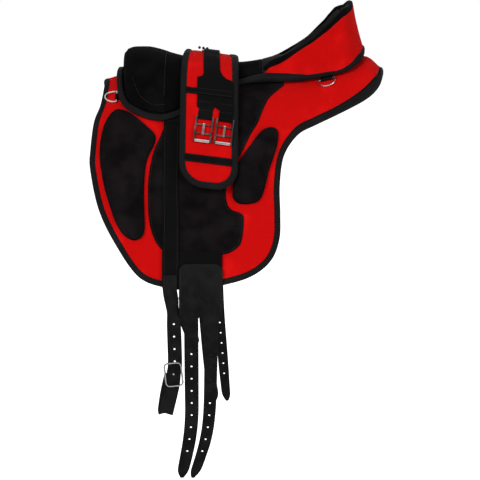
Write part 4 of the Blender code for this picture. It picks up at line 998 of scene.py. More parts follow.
@dataclass
class Panels:
    """Foam panels with their red cover, lining, spine strip and bound edge."""

    binding: float = 0.0135
    slimmer: float = 0.0035
    slim_from: float = 0.12
    slim_over: float = 0.08
    tuck: float = 0.9
    seam: float = 0.8
    channel: float = 0.028
    felt: float = 0.006
    proud: float = 0.0010
    shares: Table = (
        (-0.953, 0), (-0.938, 0.082), (-0.947, 0.193), (-0.984, 0.279), (-1.0, 0.408), (-0.998, 0.491),
        (-0.936, 0.661), (-0.82, 0.809), (-0.668, 0.944), (-0.505, 0.989), (-0.322, 1), (-0.102, 0.98),
        (0.085, 0.943), (0.211, 0.88), (0.267, 0.792), (0.273, 0.687), (0.27, 0.564), (0.3, 0.438),
        (0.398, 0.346), (0.52, 0.304), (0.661, 0.264), (0.86, 0.2), (0.953, 0.139), (0.988, 0.064), (1, 0))

    def build(self) -> None:
        """Make the pieces of the panels."""
        edge = trace(both_sides(BACK.sized(self.shares)), CELL)
        wide = self.binding - self.slimmer * np.clip((edge[:, 0] - self.slim_from) / self.slim_over, 0, 1)
        body = inset(edge, wide * self.tuck)
        cover = slab("red_cover", body, BACK.above(GAP), self.cover_top, BACK, RED_MESH, CELL, 0.0004)
        settle(cover, "saddle", "panel_cover")
        for name, sign in SIDES:
            half = self.part(body, sign, self.channel + GAP, 1.0)
            pad = slab(f"{name}_panel_pad", half, BACK.under, BACK.above(0), BACK, LINING, 0.009, 0.003)
            settle(pad, "saddle", f"{name}_panel_foam", f"{name}_panel_lining", fill=0.8)
        strip = slab("spine_felt", self.part(body, 1, -self.channel, self.channel),
                     BACK.above(-GAP - self.felt), BACK.above(-GAP), BACK, FELT, 0.009, 0.001)
        settle(strip, "saddle", "spine_strip")
        bind_edge("panel", edge, wide, wide * self.seam,
                  (lambda x, t: BACK.under(x, t) - self.proud, BACK.above(LAYERS.cover + self.proud)),
                  BACK, ("saddle", "panel_binding"), 0.0007, square=1.0)

    def cover_top(self, x: Array, t: Array) -> Array:
        """Upper face of the cover, drawn slightly uneven over the foam."""
        return BACK.foam(x, t) + LAYERS.cover + softness(x, t, 0.0004) - 0.0001

    @staticmethod
    def part(outline: Array, sign: int, low: float, high: float) -> Array:
        """The part of an outline between two runs down one side."""
        turned = outline[:, ::-1] * np.array([sign, 1])
        return clipped(turned, low, high)[:, ::-1] * np.array([1, sign])


@dataclass
class Overlay:
    """Suede overlay that runs down both flaps."""

    seam_inset: float = 0.0035
    seam_width: float = 0.0022
    seam_rise: float = 0.0006
    shares: Table = (
        (-0.481, 0.288), (-0.525, 0.354), (-0.576, 0.438), (-0.6, 0.528), (-0.603, 0.594), (-0.597, 0.695),
        (-0.566, 0.777), (-0.508, 0.833), (-0.397, 0.861), (-0.112, 0.854), (-0.007, 0.822), (0.02, 0.783),
        (0.031, 0.717), (0.02, 0.685), (-0.051, 0.667), (-0.082, 0.635), (-0.085, 0.584), (-0.034, 0.483),
        (0.017, 0.427), (0.071, 0.356), (0.122, 0.3), (0.186, 0.2), (0.244, 0.155), (0.302, 0.12))
    seams: tuple[Table, ...] = (
        ((-0.597, 0.575), (-0.45, 0.585), (-0.3, 0.592), (-0.09, 0.6)),
        ((-0.585, 0.725), (-0.4, 0.735), (-0.2, 0.738), (0.02, 0.735)))

    def build(self) -> None:
        """Make the overlay and its seams."""
        half = trace(BACK.sized(self.shares), CELL, closed=False)
        low = BACK.above(LAYERS.cover + GAP)
        piece = slab("suede_flap_overlay", both_sides(half), low, self.top, BACK, SUEDE, CELL, 0.0005)
        settle(piece, "saddle", "suede_overlay")
        for side, sign in SIDES:
            edge = inset(half, self.seam_inset, closed=False)
            row = laid_stitches(f"{side}_overlay_stitches", edge * np.array([1, sign]), self.top, BACK)
            settle(row, "saddle")
            for number, seam in enumerate(self.seams, 1):
                line = trace(BACK.sized(seam), CELL, closed=False) * np.array([1, sign])
                cord = band(f"{side}_overlay_seam_{number}", line, self.seam_width, low, self.seam_top, BACK,
                            SUEDE, closed=False, sides=8, square=1.0)
                settle(cord, "saddle")

    def top(self, x: Array, t: Array) -> Array:
        """Upper face of the overlay."""
        return BACK.foam(x, t) + LAYERS.overlay + softness(x, t, 0.00035)

    def seam_top(self, x: Array, t: Array) -> Array:
        """Upper side of a felled seam."""
        return self.top(x, t) + self.seam_rise


@dataclass
class Blocks:
    """Padded knee and thigh blocks."""

    thickness: float = 0.016
    lift: float = 0.0026
    shoulder: float = 0.024
    edge_share: float = 0.42
    dome: float = 2.2
    welt: float = 0.0028
    knee: Table = (
        (-0.838, 0.25), (-0.908, 0.313), (-0.93, 0.42), (-0.913, 0.509), (-0.885, 0.586), (-0.851, 0.652),
        (-0.817, 0.712), (-0.769, 0.764), (-0.719, 0.788), (-0.681, 0.792), (-0.644, 0.779), (-0.627, 0.751),
        (-0.627, 0.702), (-0.634, 0.592), (-0.627, 0.498), (-0.61, 0.448), (-0.572, 0.397), (-0.563, 0.366),
        (-0.58, 0.343), (-0.638, 0.31), (-0.702, 0.276), (-0.762, 0.254))
    thigh: Table = (
        (0.213, 0.326), (0.25, 0.337), (0.256, 0.364), (0.242, 0.412), (0.217, 0.46), (0.193, 0.506),
        (0.173, 0.556), (0.152, 0.602), (0.12, 0.632), (0.056, 0.642), (-0.003, 0.639), (-0.034, 0.622),
        (-0.041, 0.599), (-0.031, 0.539), (-0.014, 0.491), (0.02, 0.448), (0.074, 0.4), (0.131, 0.352),
        (0.169, 0.333))

    def build(self) -> None:
        """Make the four blocks."""
        for name, shares in (("knee", self.knee), ("thigh", self.thigh)):
            outline = trace(BACK.sized(shares), 0.004)

            def top(x: Array, t: Array, outline: Array = outline) -> Array:
                """Upper face of the block: low at its edge, full in its middle."""
                near = np.clip(edge_distance(x, t, outline) / self.shoulder, 0, 1)
                full = self.edge_share + (1 - self.edge_share) * (1 - (1 - near) ** self.dome)
                return BACK.foam(x, t) + self.lift + self.thickness * full + softness(x, t, 0.0005)

            block = slab(f"near_{name}_pad", outline, BACK.above(self.lift), top, BACK, SUEDE, 0.0045,
                         0.0035)
            pair(block, "saddle", f"near_{name}_block", fill=0.8)
            welt = band(f"near_{name}_welt", outline, self.welt, BACK.above(LAYERS.cover),
                        BACK.above(LAYERS.cover + self.welt), BACK, SUEDE, sides=8, square=1.0)
            pair(welt, "saddle")


@dataclass
class Seat:
    """Skirt, pommel roll, cushion and cantle."""

    binding: float = 0.012
    tuck: float = 0.9
    seam: float = 0.8
    rolled: float = 0.0054
    fuller: float = 0.004
    fuller_rise: float = 0.0112
    full_from: float = -0.01
    full_over: float = 0.07
    end_places: Row = (-0.24, -0.22, 0.195, 0.235, 0.248)
    end_rises: Row = (0.006, 0, 0, 0.004, 0)
    inset: float = 0.015
    base: float = 0.0032
    tongue: float = 0.0022
    tongue_gap: float = 0.0014
    pommel_height: float = 0.081
    cantle_height: float = 0.158
    lean: float = 0.13
    lean_from: float = 0.54
    lean_over: float = 0.26
    rim: float = 0.0105
    rim_runs_in: float = 0.1
    shelf: float = 0.009
    shelf_over: float = 0.04
    rounding: float = 0.55
    roundings: tuple[float, float] = (0.0005, 0.012)
    shell_wall: float = 0.0016
    shell_inset: float = 0.0014
    foot: float = 0.014
    foot_share: float = 0.35
    full_height: float = 0.07
    pommel_end: float = -0.145
    cantle_start: float = 0.045
    join: float = 0.004
    power: float = 2.6
    arc: Table = ((-0.213, 0.072), (-0.197, 0.098), (-0.172, 0.113), (-0.148, 0.113))
    shares: Table = (
        (-0.851, 0), (-0.844, 0.097), (-0.82, 0.187), (-0.786, 0.23), (-0.739, 0.255), (-0.681, 0.275),
        (-0.603, 0.292), (-0.529, 0.298), (-0.468, 0.292), (-0.383, 0.27), (-0.254, 0.21), (-0.136, 0.162),
        (-0.024, 0.13), (0.051, 0.118), (0.166, 0.115), (0.302, 0.119), (0.4, 0.124), (0.492, 0.128),
        (0.597, 0.129), (0.65, 0.132), (0.705, 0.132), (0.759, 0.124), (0.805, 0.104), (0.838, 0.08),
        (0.856, 0.05), (0.864, 0.022), (0.866, 0))
    base_shares: Table = (
        (-0.75, 0), (-0.742, 0.1), (-0.72, 0.16), (-0.68, 0.195), (-0.6, 0.215), (-0.38, 0.2),
        (-0.25, 0.145), (-0.13, 0.1), (0, 0.072), (0.16, 0.065), (0.45, 0.065), (0.6, 0.06), (0.69, 0.04),
        (0.73, 0))
    crown_places: Row = (
        -0.81, -0.8, -0.775, -0.72, -0.645, -0.56, -0.475, -0.37, -0.2, 0, 0.136, 0.27, 0.41, 0.54, 0.645,
        0.725, 0.762, 0.79, 0.82)
    crown_shares: Row = (
        0.62, 0.82, 0.94, 0.985, 0.99, 0.93, 0.84, 0.74, 0.64, 0.6, 0.66, 0.76, 0.79, 0.87, 1.02, 1.28, 1.62,
        1.96, 1.95)
    wall_places: Row = (
        -0.81, -0.2, 0.1, 0.15, 0.225, 0.276, 0.328, 0.38, 0.431, 0.49, 0.539, 0.603, 0.662, 0.73, 0.806,
        0.87)
    wall_shares: Row = (
        0.225, 0.22, 0.24, 0.285, 0.353, 0.4, 0.468, 0.55, 0.625, 0.705, 0.785, 0.87, 0.97, 1.045, 1.0, 0.94)
    rim_places: Row = (0.13, 0.17, 0.225, 0.287, 0.34, 0.4, 0.46, 0.52, 0.58, 0.73, 0.8, 0.88)
    rim_heights: Row = (0.002, 0.009, 0.012, 0.011, 0.0085, 0.004, 0.0025, 0.004, 0.0065, 0.0085, 0.0045, 0)
    bulge_places: Row = (0, 0.015, 0.04, 0.09, 0.2, 0.41, 0.78, 0.93, 1)
    bulge: Row = (0.004, 0.009, 0.0125, 0.012, 0.010, 0.0065, 0.002, 0.001, 0.0005)
    edge: Array = field(init=False)
    cushion: Array = field(init=False)

    def __post_init__(self) -> None:
        """Work out the outline of the skirt and of the cushions."""
        self.edge = trace(both_sides(BACK.sized(self.shares)), 0.005)
        self.cushion = inset(self.edge, self.inset)

    def crown(self, x: Array) -> Array:
        """Height of the centre line."""
        return self.pommel_height * flowing(x / BACK.half_length, self.crown_places, self.crown_shares)

    def wall(self, x: Array, t: Array) -> Array:
        """Height of the seat's edge."""
        return self.cantle_height * flowing(x / BACK.half_length, self.wall_places, self.wall_shares)

    def top(self, x: Array, t: Array) -> Array:
        """Upper face of the seat."""
        near = self.cushion[self.cushion[:, 1] >= 0]
        near = near[np.argsort(near[:, 0])]
        shelf = self.shelf * np.clip((x - self.cantle_start) / self.shelf_over, 0, 1)
        width = np.maximum(np.interp(x, near[:, 0], near[:, 1]) - shelf, GAP)
        across = np.minimum(np.abs(t) / width, 1)
        wall = self.wall(x, t)
        full = wall + (self.crown(x) - wall) * (1 - across ** self.power)
        depth = np.maximum(wall - BACK.foam(x, t) - LAYERS.cushion, 0.001)
        round_off = np.clip(depth * self.rounding, *self.roundings)
        beyond = np.clip(1 - edge_distance(x, t, self.cushion) / round_off, 0, 1)
        return full - round_off * (1 - np.sqrt(1 - beyond ** 2)) + softness(x, t, 0.0006) * (1 - beyond)

    def leaning(self, x: Array, t: Array, h: Array) -> Array:
        """Lay points of the cantle, which leans forward."""
        share = np.clip((x / BACK.half_length - self.lean_from) / self.lean_over, 0, 1)
        return BACK(x - self.lean * share * (h - BACK.panel - BACK.rear_swell), t, h)

    def build(self) -> None:
        """Make the pieces of the seat."""
        self.build_skirt()
        # The pommel and seat pads take the suede with painted shade; the cantle pad takes the paler suede
        # with painted light.
        spans = (("pommel_pad", "pommel_roll", -1.0, self.pommel_end, BACK, SHADED_SEAT_SUEDE),
                 ("seat_pad", "seat_cushion", self.pommel_end, self.cantle_start, BACK, SHADED_SEAT_SUEDE),
                 ("cantle_pad", "cantle_bolster", self.cantle_start, 1.0, self.leaning, LIT_DISH_SUEDE))
        for name, node, start, end, lay, finish in spans:
            outline = clipped(self.cushion, start, end)
            pad = slab(name, outline, BACK.above(LAYERS.cushion), self.top, lay, finish, 0.005, 0.0015)
            settle(pad, "saddle", node, fill=0.7)
        self.build_seams()
        self.build_cantle()

    def build_skirt(self) -> None:
        """Make the underlay, the skirt and its bound edge."""
        half = np.array(BACK.sized(self.base_shares))
        left, right = (STIRRUP.place + sign * STIRRUP.web_width / 2 for sign in (-1, 1))
        deep = STIRRUP.hinge - self.tongue_gap
        tongue = [(left, np.interp(left, *half.T)), (left, deep), (right, deep),
                  (right, np.interp(right, *half.T))]
        outline = both_sides([*half[half[:, 0] < left], *tongue, *half[half[:, 0] > right]])
        base = slab("seat_underlay", outline, BACK.above(LAYERS.base), self.base_top, BACK, FELT, 0.008,
                    0.0004)
        settle(base, "saddle", "seat_base")
        body = inset(self.edge, self.binding * self.tuck)
        skirt = slab("seat_skirt_suede", body, BACK.above(LAYERS.skirt), BACK.above(LAYERS.skirt_top), BACK,
                     SHADED_SEAT_SUEDE, 0.007, 0.0005)
        settle(skirt, "saddle", "seat_skirt")
        bind_edge("skirt", self.edge, self.binding + self.fuller * self.fatness(self.edge[:, 0]),
                  self.binding * self.seam, (BACK.above(LAYERS.skirt - 0.0006), self.binding_top), BACK,
                  ("saddle", "seat_skirt_binding"), 0.0006)

    def fatness(self, x: Array) -> Array:
        """How much fuller the binding is rolled behind the middle of the seat."""
        run = np.clip((x - self.full_from) / self.full_over, 0, 1)
        return run * run * (3 - 2 * run)

    def binding_top(self, x: Array, t: Array) -> Array:
        """Upper side of the binding."""
        ends = np.interp(x, self.end_places, self.end_rises)
        return BACK.foam(x, t) + LAYERS.skirt + self.rolled + self.fuller_rise * self.fatness(x) + ends

    def base_top(self, x: Array, t: Array) -> Array:
        """Upper face of the underlay, thinner at its tongues."""
        thin = np.abs(t) > BACK.t_shares[7] * BACK.flap_drop + GAP
        return BACK.foam(x, t) + LAYERS.base + np.where(thin, self.tongue, self.base)

    def build_seams(self) -> None:
        """Make the stitched arcs on the pommel and the row where the pads meet."""
        for side, sign in SIDES:
            arc = trace(np.array(self.arc) * (1, sign), 0.004, closed=False)
            settle(laid_stitches(f"{side}_pommel_stitches", arc, self.top, BACK), "saddle")
        for name, x in (("pommel_join_stitches", self.pommel_end - self.join),
                        ("cantle_join_stitches", self.cantle_start - self.join)):
            reach = 0.8 * abs(self.cushion[np.argmin(abs(self.cushion[:, 0] - x)), 1])
            line = np.stack([np.full(60, x), np.linspace(-reach, reach, 60)], -1)
            settle(laid_stitches(name, line, self.top, BACK), "saddle")

    def build_cantle(self) -> None:
        """Make the red panel round the back of the cantle and the roll over it."""
        behind = self.edge[:, 0] > self.cantle_start
        start = int(np.argmax(behind))
        back = self.edge[start:start + int(np.sum(behind))]
        path = inset(back, self.inset - self.shell_inset, closed=False)
        settle(self.shell(path), "saddle", "cantle_panel")
        line = inset(back, self.inset + self.rim / 4, closed=False)
        share = line[:, 0] / BACK.half_length - self.rim_places[0]
        line, share = line[share > 0], share[share > 0]
        wide = self.rim * np.clip(share / self.rim_runs_in, 0.35, 1)
        roll = band("cantle_rim_roll", line, wide, self.rim_low, self.rim_top, self.leaning, SHADED_SEAT_SUEDE,
                    closed=False, sides=16, square=1.0)
        settle(roll, "saddle", "cantle_rim")

    def rim_low(self, x: Array, t: Array) -> Array:
        """Lower side of the roll, on the cushion."""
        return np.minimum(self.wall(x, t) - 0.003, self.top(x, t) - 0.0004)

    def rim_top(self, x: Array, t: Array) -> Array:
        """Upper side of the roll."""
        return self.wall(x, t) + flowing(x / BACK.half_length, self.rim_places, self.rim_heights)

    def shell(self, path: Array) -> Piece:
        """The red panel: flat at its ends, bulging over the binding behind."""
        out = -rightwards(path, False)
        x, t = path.T
        low = BACK.foam(x, t) + LAYERS.cushion + 0.0006
        foot = self.foot_share + (1 - self.foot_share) * np.clip((x - self.cantle_start) / self.foot, 0, 1)
        high = low + (np.maximum(self.wall(x, t), low) + 0.001 - low) * foot
        tall = np.clip((high - low) / self.full_height, 0, 1)
        shares = np.concatenate([np.linspace(0, 0.12, 6), np.linspace(0.12, 1, 16)[1:]])
        swell = flowing(shares, self.bulge_places, self.bulge)
        rings = []
        for skin, order in ((0.5, slice(None)), (-0.5, slice(None, None, -1))):
            for share, much in zip(shares[order], swell[order]):
                spot = path + out * (much * tall + skin * self.shell_wall)[:, None]
                rings.append(self.leaning(*spot.T, low + (high - low) * share))
        rings = np.array(rings).transpose(1, 0, 2)
        level = np.concatenate([shares, shares[::-1]])[None, :] * (high - low)[:, None]
        uvs = np.stack([np.repeat(lengths(path), rings.shape[1]), level.ravel()], -1)
        return build("cantle_red_panel", rings.reshape(-1, 3), tube(rings, False), uvs, RED_MESH)


@dataclass
class Course:
    """Course of a strap: down the flap, then turning to hang plumb."""

    start: float
    bend: float
    level: float
    x: float
    drop: float
    parts: int
    turning: float = 0.7

    def points(self) -> tuple[Array, Array]:
        """Places and outward directions along the course, on the near side."""
        t = self.start + (self.bend - self.start) * np.arange(3) / 2
        spots, outs = map(list, frames(BACK.over, self.x, t, self.level))
        slope = math.atan2(outs[-1][2], -outs[-1][1])
        run = self.drop / self.parts
        for k in range(self.parts):
            angle, ahead = (slope * max(0, 1 - at / (self.parts * self.turning)) for at in (k + 0.5, k + 1))
            spots.append(spots[-1] + np.array([0, -run * math.tan(angle), -run]))
            outs.append(np.array([0, -math.cos(ahead), math.sin(ahead)]))
        return np.array(spots), np.array(outs)


def refined(spots: Array, outs: Array, spacing: float) -> tuple[Array, Array]:
    """Smooth a course and give it even points."""
    line = trace(np.hstack([spots, outs * 1e-3]), spacing, closed=False)
    return line[:, :3], unit(line[:, 3:])


@dataclass
class Stirrup:
    """Stirrup web and leather on each side."""

    place: float = -0.13393
    hinge: float = 0.298 * 0.466 + 0.0006 + 0.0011
    web_width: float = 0.031
    web: float = 0.0022
    web_end: float = 0.462
    slack: float = 0.0028
    slack_from: float = 0.6
    slack_over: float = 0.15
    row: float = 0.4
    width: float = 0.028
    thickness: float = 0.0032
    overlap: float = 0.024
    loop_gap: float = 0.0056
    hole_drop: float = 0.071
    buckle_drop: float = 0.101
    loop_drop: float = 0.082
    buckle_height: float = 0.050
    wire: float = 0.0034
    pitch: float = 0.025
    near_hang: Triple = (0.014, -0.0085, -0.0125)
    off_hang: Triple = (0.0035, 0.0190, 0.0215)
    most_turn: float = math.radians(40)
    upper: Row = (0, 0, 0, 0.1, 0.25, 0.35, 0.45, 0.5, 0.55)
    turns: Row = (0, 0, 0, 0.1, 0.5, 0.9, 1, 0.8, 0.5)
    lower: Row = (0.65, 0.45, 0.25)
    tail: tuple[float, float] = (0.55, 0.1)

    def build(self) -> None:
        """Make both sides."""
        t = np.linspace(self.hinge - self.web / 2, self.web_end, 60)
        spots, outs = frames(BACK.over, self.place, t, LAYERS.base + self.web / 2)
        spread = np.clip((t / self.web_end - self.slack_from) / self.slack_over, 0, 1)
        spots[:, 0] += self.slack / 2 * spread
        web = ribbon("near_stirrup_tape", spots, outs, self.web_width + self.slack * spread, self.web, WEB)
        pair(web, "near_stirrup_web", "near_stirrup_web")
        side = np.cross(headings(spots, False), outs)
        for which, sign in ENDS:
            line = spots + side * sign * self.row * self.web_width + outs * self.web / 2
            row = stitches(f"near_stirrup_tape_{which}_row", line[2:-2], outs[2:-2])
            pair(row, "near_stirrup_web")
        self.leather("near", *self.near_hang)
        self.leather("off", *self.off_hang)

    def leather(self, side: str, sway: float, trail: float, twist: float) -> None:
        """Make one stirrup leather, folded for the iron.

        Args:
            side: Side of the saddle.
            sway: How far it swings and turns above its buckle.
            trail: Where its loop starts to fold, along the saddle.
            twist: Where its loop ends its fold, along the saddle.
        """
        level = LAYERS.base + self.web + GAP + self.thickness / 2
        course = Course(self.web_end - self.overlap, self.web_end, level, self.place, self.hole_drop, 6)
        spots, outs = course.points()
        centres = [spot + (sway * share, 0, 0) for spot, share in zip(spots, self.upper)]
        faces = [np.array(Matrix.Rotation(self.most_turn * turn, 3, "Z") @ Vector(out))
                 for out, turn in zip(outs, self.turns)]
        top = spots[-1]
        buckle = top[2] - self.buckle_drop
        radius = (self.loop_gap + self.thickness) / 2
        fold = buckle - self.loop_drop + radius + self.thickness / 2
        end = buckle - self.wire
        heights = (buckle + self.buckle_height / 2, buckle, buckle - self.buckle_height / 2, fold)
        shifts = (*(sway * share for share in self.lower), trail)
        places = [(shift, 0, z, 0) for shift, z in zip(shifts, heights)]
        for degrees in (45, 90, 135, 180):
            turn = math.radians(degrees)
            places.append((trail + (twist - trail) * degrees / 180, radius - radius * math.cos(turn),
                           fold - radius * math.sin(turn), turn))
        places += [(self.tail[0] * twist, radius * 2, (fold + end) / 2, math.pi),
                   (self.tail[1] * sway, radius * 2, end, math.pi)]
        centres += [np.array([top[0] + x, top[1] + y, z]) for x, y, z, _ in places]
        faces += [np.array([0, -math.cos(turn), -math.sin(turn)]) for *_, turn in places]
        line, outs = refined(np.array(centres), np.array(faces), 0.003)
        piece = ribbon(f"{side}_stirrup_strap", line, outs, np.full(len(line), self.width), self.thickness,
                       LEATHER, corner=0.001)
        holes = [(top[0] + shifts[1], top[1], buckle)]
        for k in range(4):
            share = self.upper[-1] + (self.lower[0] - self.upper[-1]) * k / 4
            holes.append((top[0] + sway * share, top[1], top[2] - self.pitch * k))
        punch(piece, holes)
        if side == "off":
            piece = turned_over(piece)
        settle(piece, f"{side}_stirrup_leather", f"{side}_stirrup_leather")


STIRRUP = Stirrup()


@dataclass
class Billets:
    """Billet web, and the leather plate that runs on into two punched billets."""

    place: float = -0.07375
    plate: float = 0.0035
    width: float = 0.085
    corner: float = 0.016
    shoulder: float = 0.0332
    shoulder_drop: float = 0.0095
    shoulder_rise: float = 0.0066
    side_rise: float = 0.012
    parting: float = 0.0010
    slot_drop: float = 0.002
    fork: float = 0.0105
    top: float = 0.416
    bend: float = 0.448
    drop: float = 0.074
    web_top: float = 0.861 * 0.466 - 0.009
    web: float = 0.0020
    web_inset: float = 0.0024
    row_inset: float = 0.0035
    row_ends: tuple[float, float] = (0.017, 0.009)
    spacing: float = 0.038
    billet: float = 0.028
    length: float = 0.328
    far: float = 1.037
    first: float = 0.072
    pitch: float = 0.025
    holes: int = 9
    bends_above: float = 0.004
    bends_below: float = 0.024
    rear_lift: float = 0.00003
    runs: Row = (0, 0.05, 0.2, 0.4, 0.55, 0.65, 0.76, 0.86, 0.94, 0.97, 1)
    front_widths: Row = (1, 1, 1, 0.99, 0.97, 0.96, 0.94, 0.9, 0.83, 0.64, 0.22)
    rear_widths: Row = (1, 0.98, 0.94, 0.91, 0.89, 0.87, 0.85, 0.79, 0.74, 0.58, 0.2)
    courses: dict[str, Row] = field(default_factory=lambda: {
        "near_front": (0, 0, 0, 0, 0, 0.05, 0.2, 0.42, 0.62, 0.69, 0.74),
        "near_rear": (0, 0, 0, 0.04, 0.1, 0.2, 0.42, 0.75, 1.06, 1.2, 1.33),
        "off_front": (0, 0, -0.12, -0.3, -0.43, -0.53, -0.65, -0.8, -0.98, -1.04, -1.1),
        "off_rear": (0, 0.03, -0.03, -0.16, -0.3, -0.4, -0.5, -0.6, -0.69, -0.74, -0.78)})

    def __post_init__(self) -> None:
        """Work out the course that the plate and billets hang on."""
        level = LAYERS.base + self.web + GAP + self.plate / 2
        spots, outs = Course(self.top, self.bend, level, self.place, self.drop, 5).points()
        self.end = spots[-1]
        line, outs = refined(spots, outs, 0.002)
        tail = line[-1] - np.array([0, 0, 1]) * np.linspace(0.002, self.length + 0.03, 170)[:, None]
        self.line = np.vstack([line, tail])
        self.outs = np.vstack([outs, np.tile([0, -1.0, 0], (len(tail), 1))])
        self.distance = lengths(self.line)
        self.joint = float(self.distance[len(line) - 1])

    def hung(self, x: Array, s: Array, h: Array) -> Array:
        """Lay points on the hanging course, s down from the plate's top."""
        spot = looked_up(s, self.distance, self.line) + self.out(s) * np.asarray(h)[..., None]
        spot[..., 0] = x
        return spot

    def out(self, s: Array) -> Array:
        """Direction out of the hanging course."""
        return looked_up(s, self.distance, self.outs)

    def centre(self, key: str, run: Array) -> Array:
        """Middle of a billet across the plate, at a share of its length."""
        sign = dict(ENDS)[key.split("_")[1]]
        sway = self.billet * flowing(run, self.runs, self.courses[key])
        return self.place + self.spacing * sign / 2 - sway

    def reach(self, side: str) -> float:
        """Length of a billet: the far ones hang lower."""
        return self.length * (self.far if side == "off" else 1)

    def outline(self, side: str, which: str) -> Array:
        """Outline of one half of the plate with its billet."""
        sign = dict(ENDS)[which]
        run = np.linspace(0.012, 1, 90)
        middle = self.centre(f"{side}_{which}", run)
        widths = self.front_widths if which == "front" else self.rear_widths
        half = self.billet / 2 * flowing(run, self.runs, widths)
        down = self.joint + run * self.reach(side)
        inner = np.stack([middle - sign * half, down], -1)
        outer = np.stack([middle + sign * half, down], -1)[::-1]
        edge = self.place + sign * self.width / 2
        slot = (self.spacing - self.billet) / 2
        arch = [(self.place + sign * slot * math.sin(a), self.joint + self.slot_drop - slot * math.cos(a))
                for a in np.radians(np.linspace(8, 90, 8))]
        round_top = [(edge - sign * self.corner * (1 - math.cos(a)), self.corner * (1 - math.sin(a)))
                     for a in np.radians(np.linspace(0, 90, 7))]
        seam = self.place - sign * self.parting
        shoulder = [(self.place + sign * self.shoulder, self.joint + self.shoulder_drop),
                    (edge, self.joint - self.shoulder_rise),
                    *np.linspace((edge, self.joint - self.side_rise), (edge, self.corner + 0.001), 8)]
        outer = outer[outer[:, 1] > self.joint + self.fork]
        return np.array([(seam, 0.0), (seam, arch[0][1]), *arch, *inner, *outer, *shoulder, *round_top])

    def build(self) -> None:
        """Make both sides."""
        for side, _ in SIDES:
            for which, sign in ENDS:
                self.half_plate(side, which, sign)
        t = np.linspace(self.web_top, self.bend, 14)
        spots, outs = frames(BACK.over, self.place, t, LAYERS.base + self.web / 2)
        widths = np.full(len(t), self.width - self.web_inset)
        web = ribbon("near_plate_web", spots, outs, widths, self.web, WEB)
        pair(web, "near_billet_plate", "near_billet_web")

    def half_plate(self, side: str, which: str, sign: int) -> None:
        """Make one half of a plate with its billet, its holes and its stitches."""
        key = f"{side}_{which}"
        half = self.plate / 2
        lift = self.rear_lift if which == "rear" else 0.0
        piece = slab(f"{key}_billet_strap", self.outline(side, which), lambda x, s: x * 0 - half + lift,
                     lambda x, s: x * 0 + half + lift, self.hung, LEATHER, CELL, 0.0007)
        downs = self.first + self.pitch * np.arange(self.holes)
        across = self.centre(key, downs / self.reach(side))
        punch(piece, [(x, self.end[1], self.end[2] - d) for x, d in zip(across, downs)])
        s = np.linspace(self.row_ends[0], self.joint - self.row_ends[1], 30)
        edge = self.place + sign * (self.width / 2 - self.row_inset)
        row = stitches(f"{key}_plate_stitches", self.hung(edge, s, half), self.out(s))
        plate = f"{side}_billet_plate"
        if side == "off":
            piece = turned_over(piece)
            row = turned_over(row)
        settle(row, plate)
        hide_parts(f"{key}_billet", *([plate] if which == "front" else []))
        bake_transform(piece)


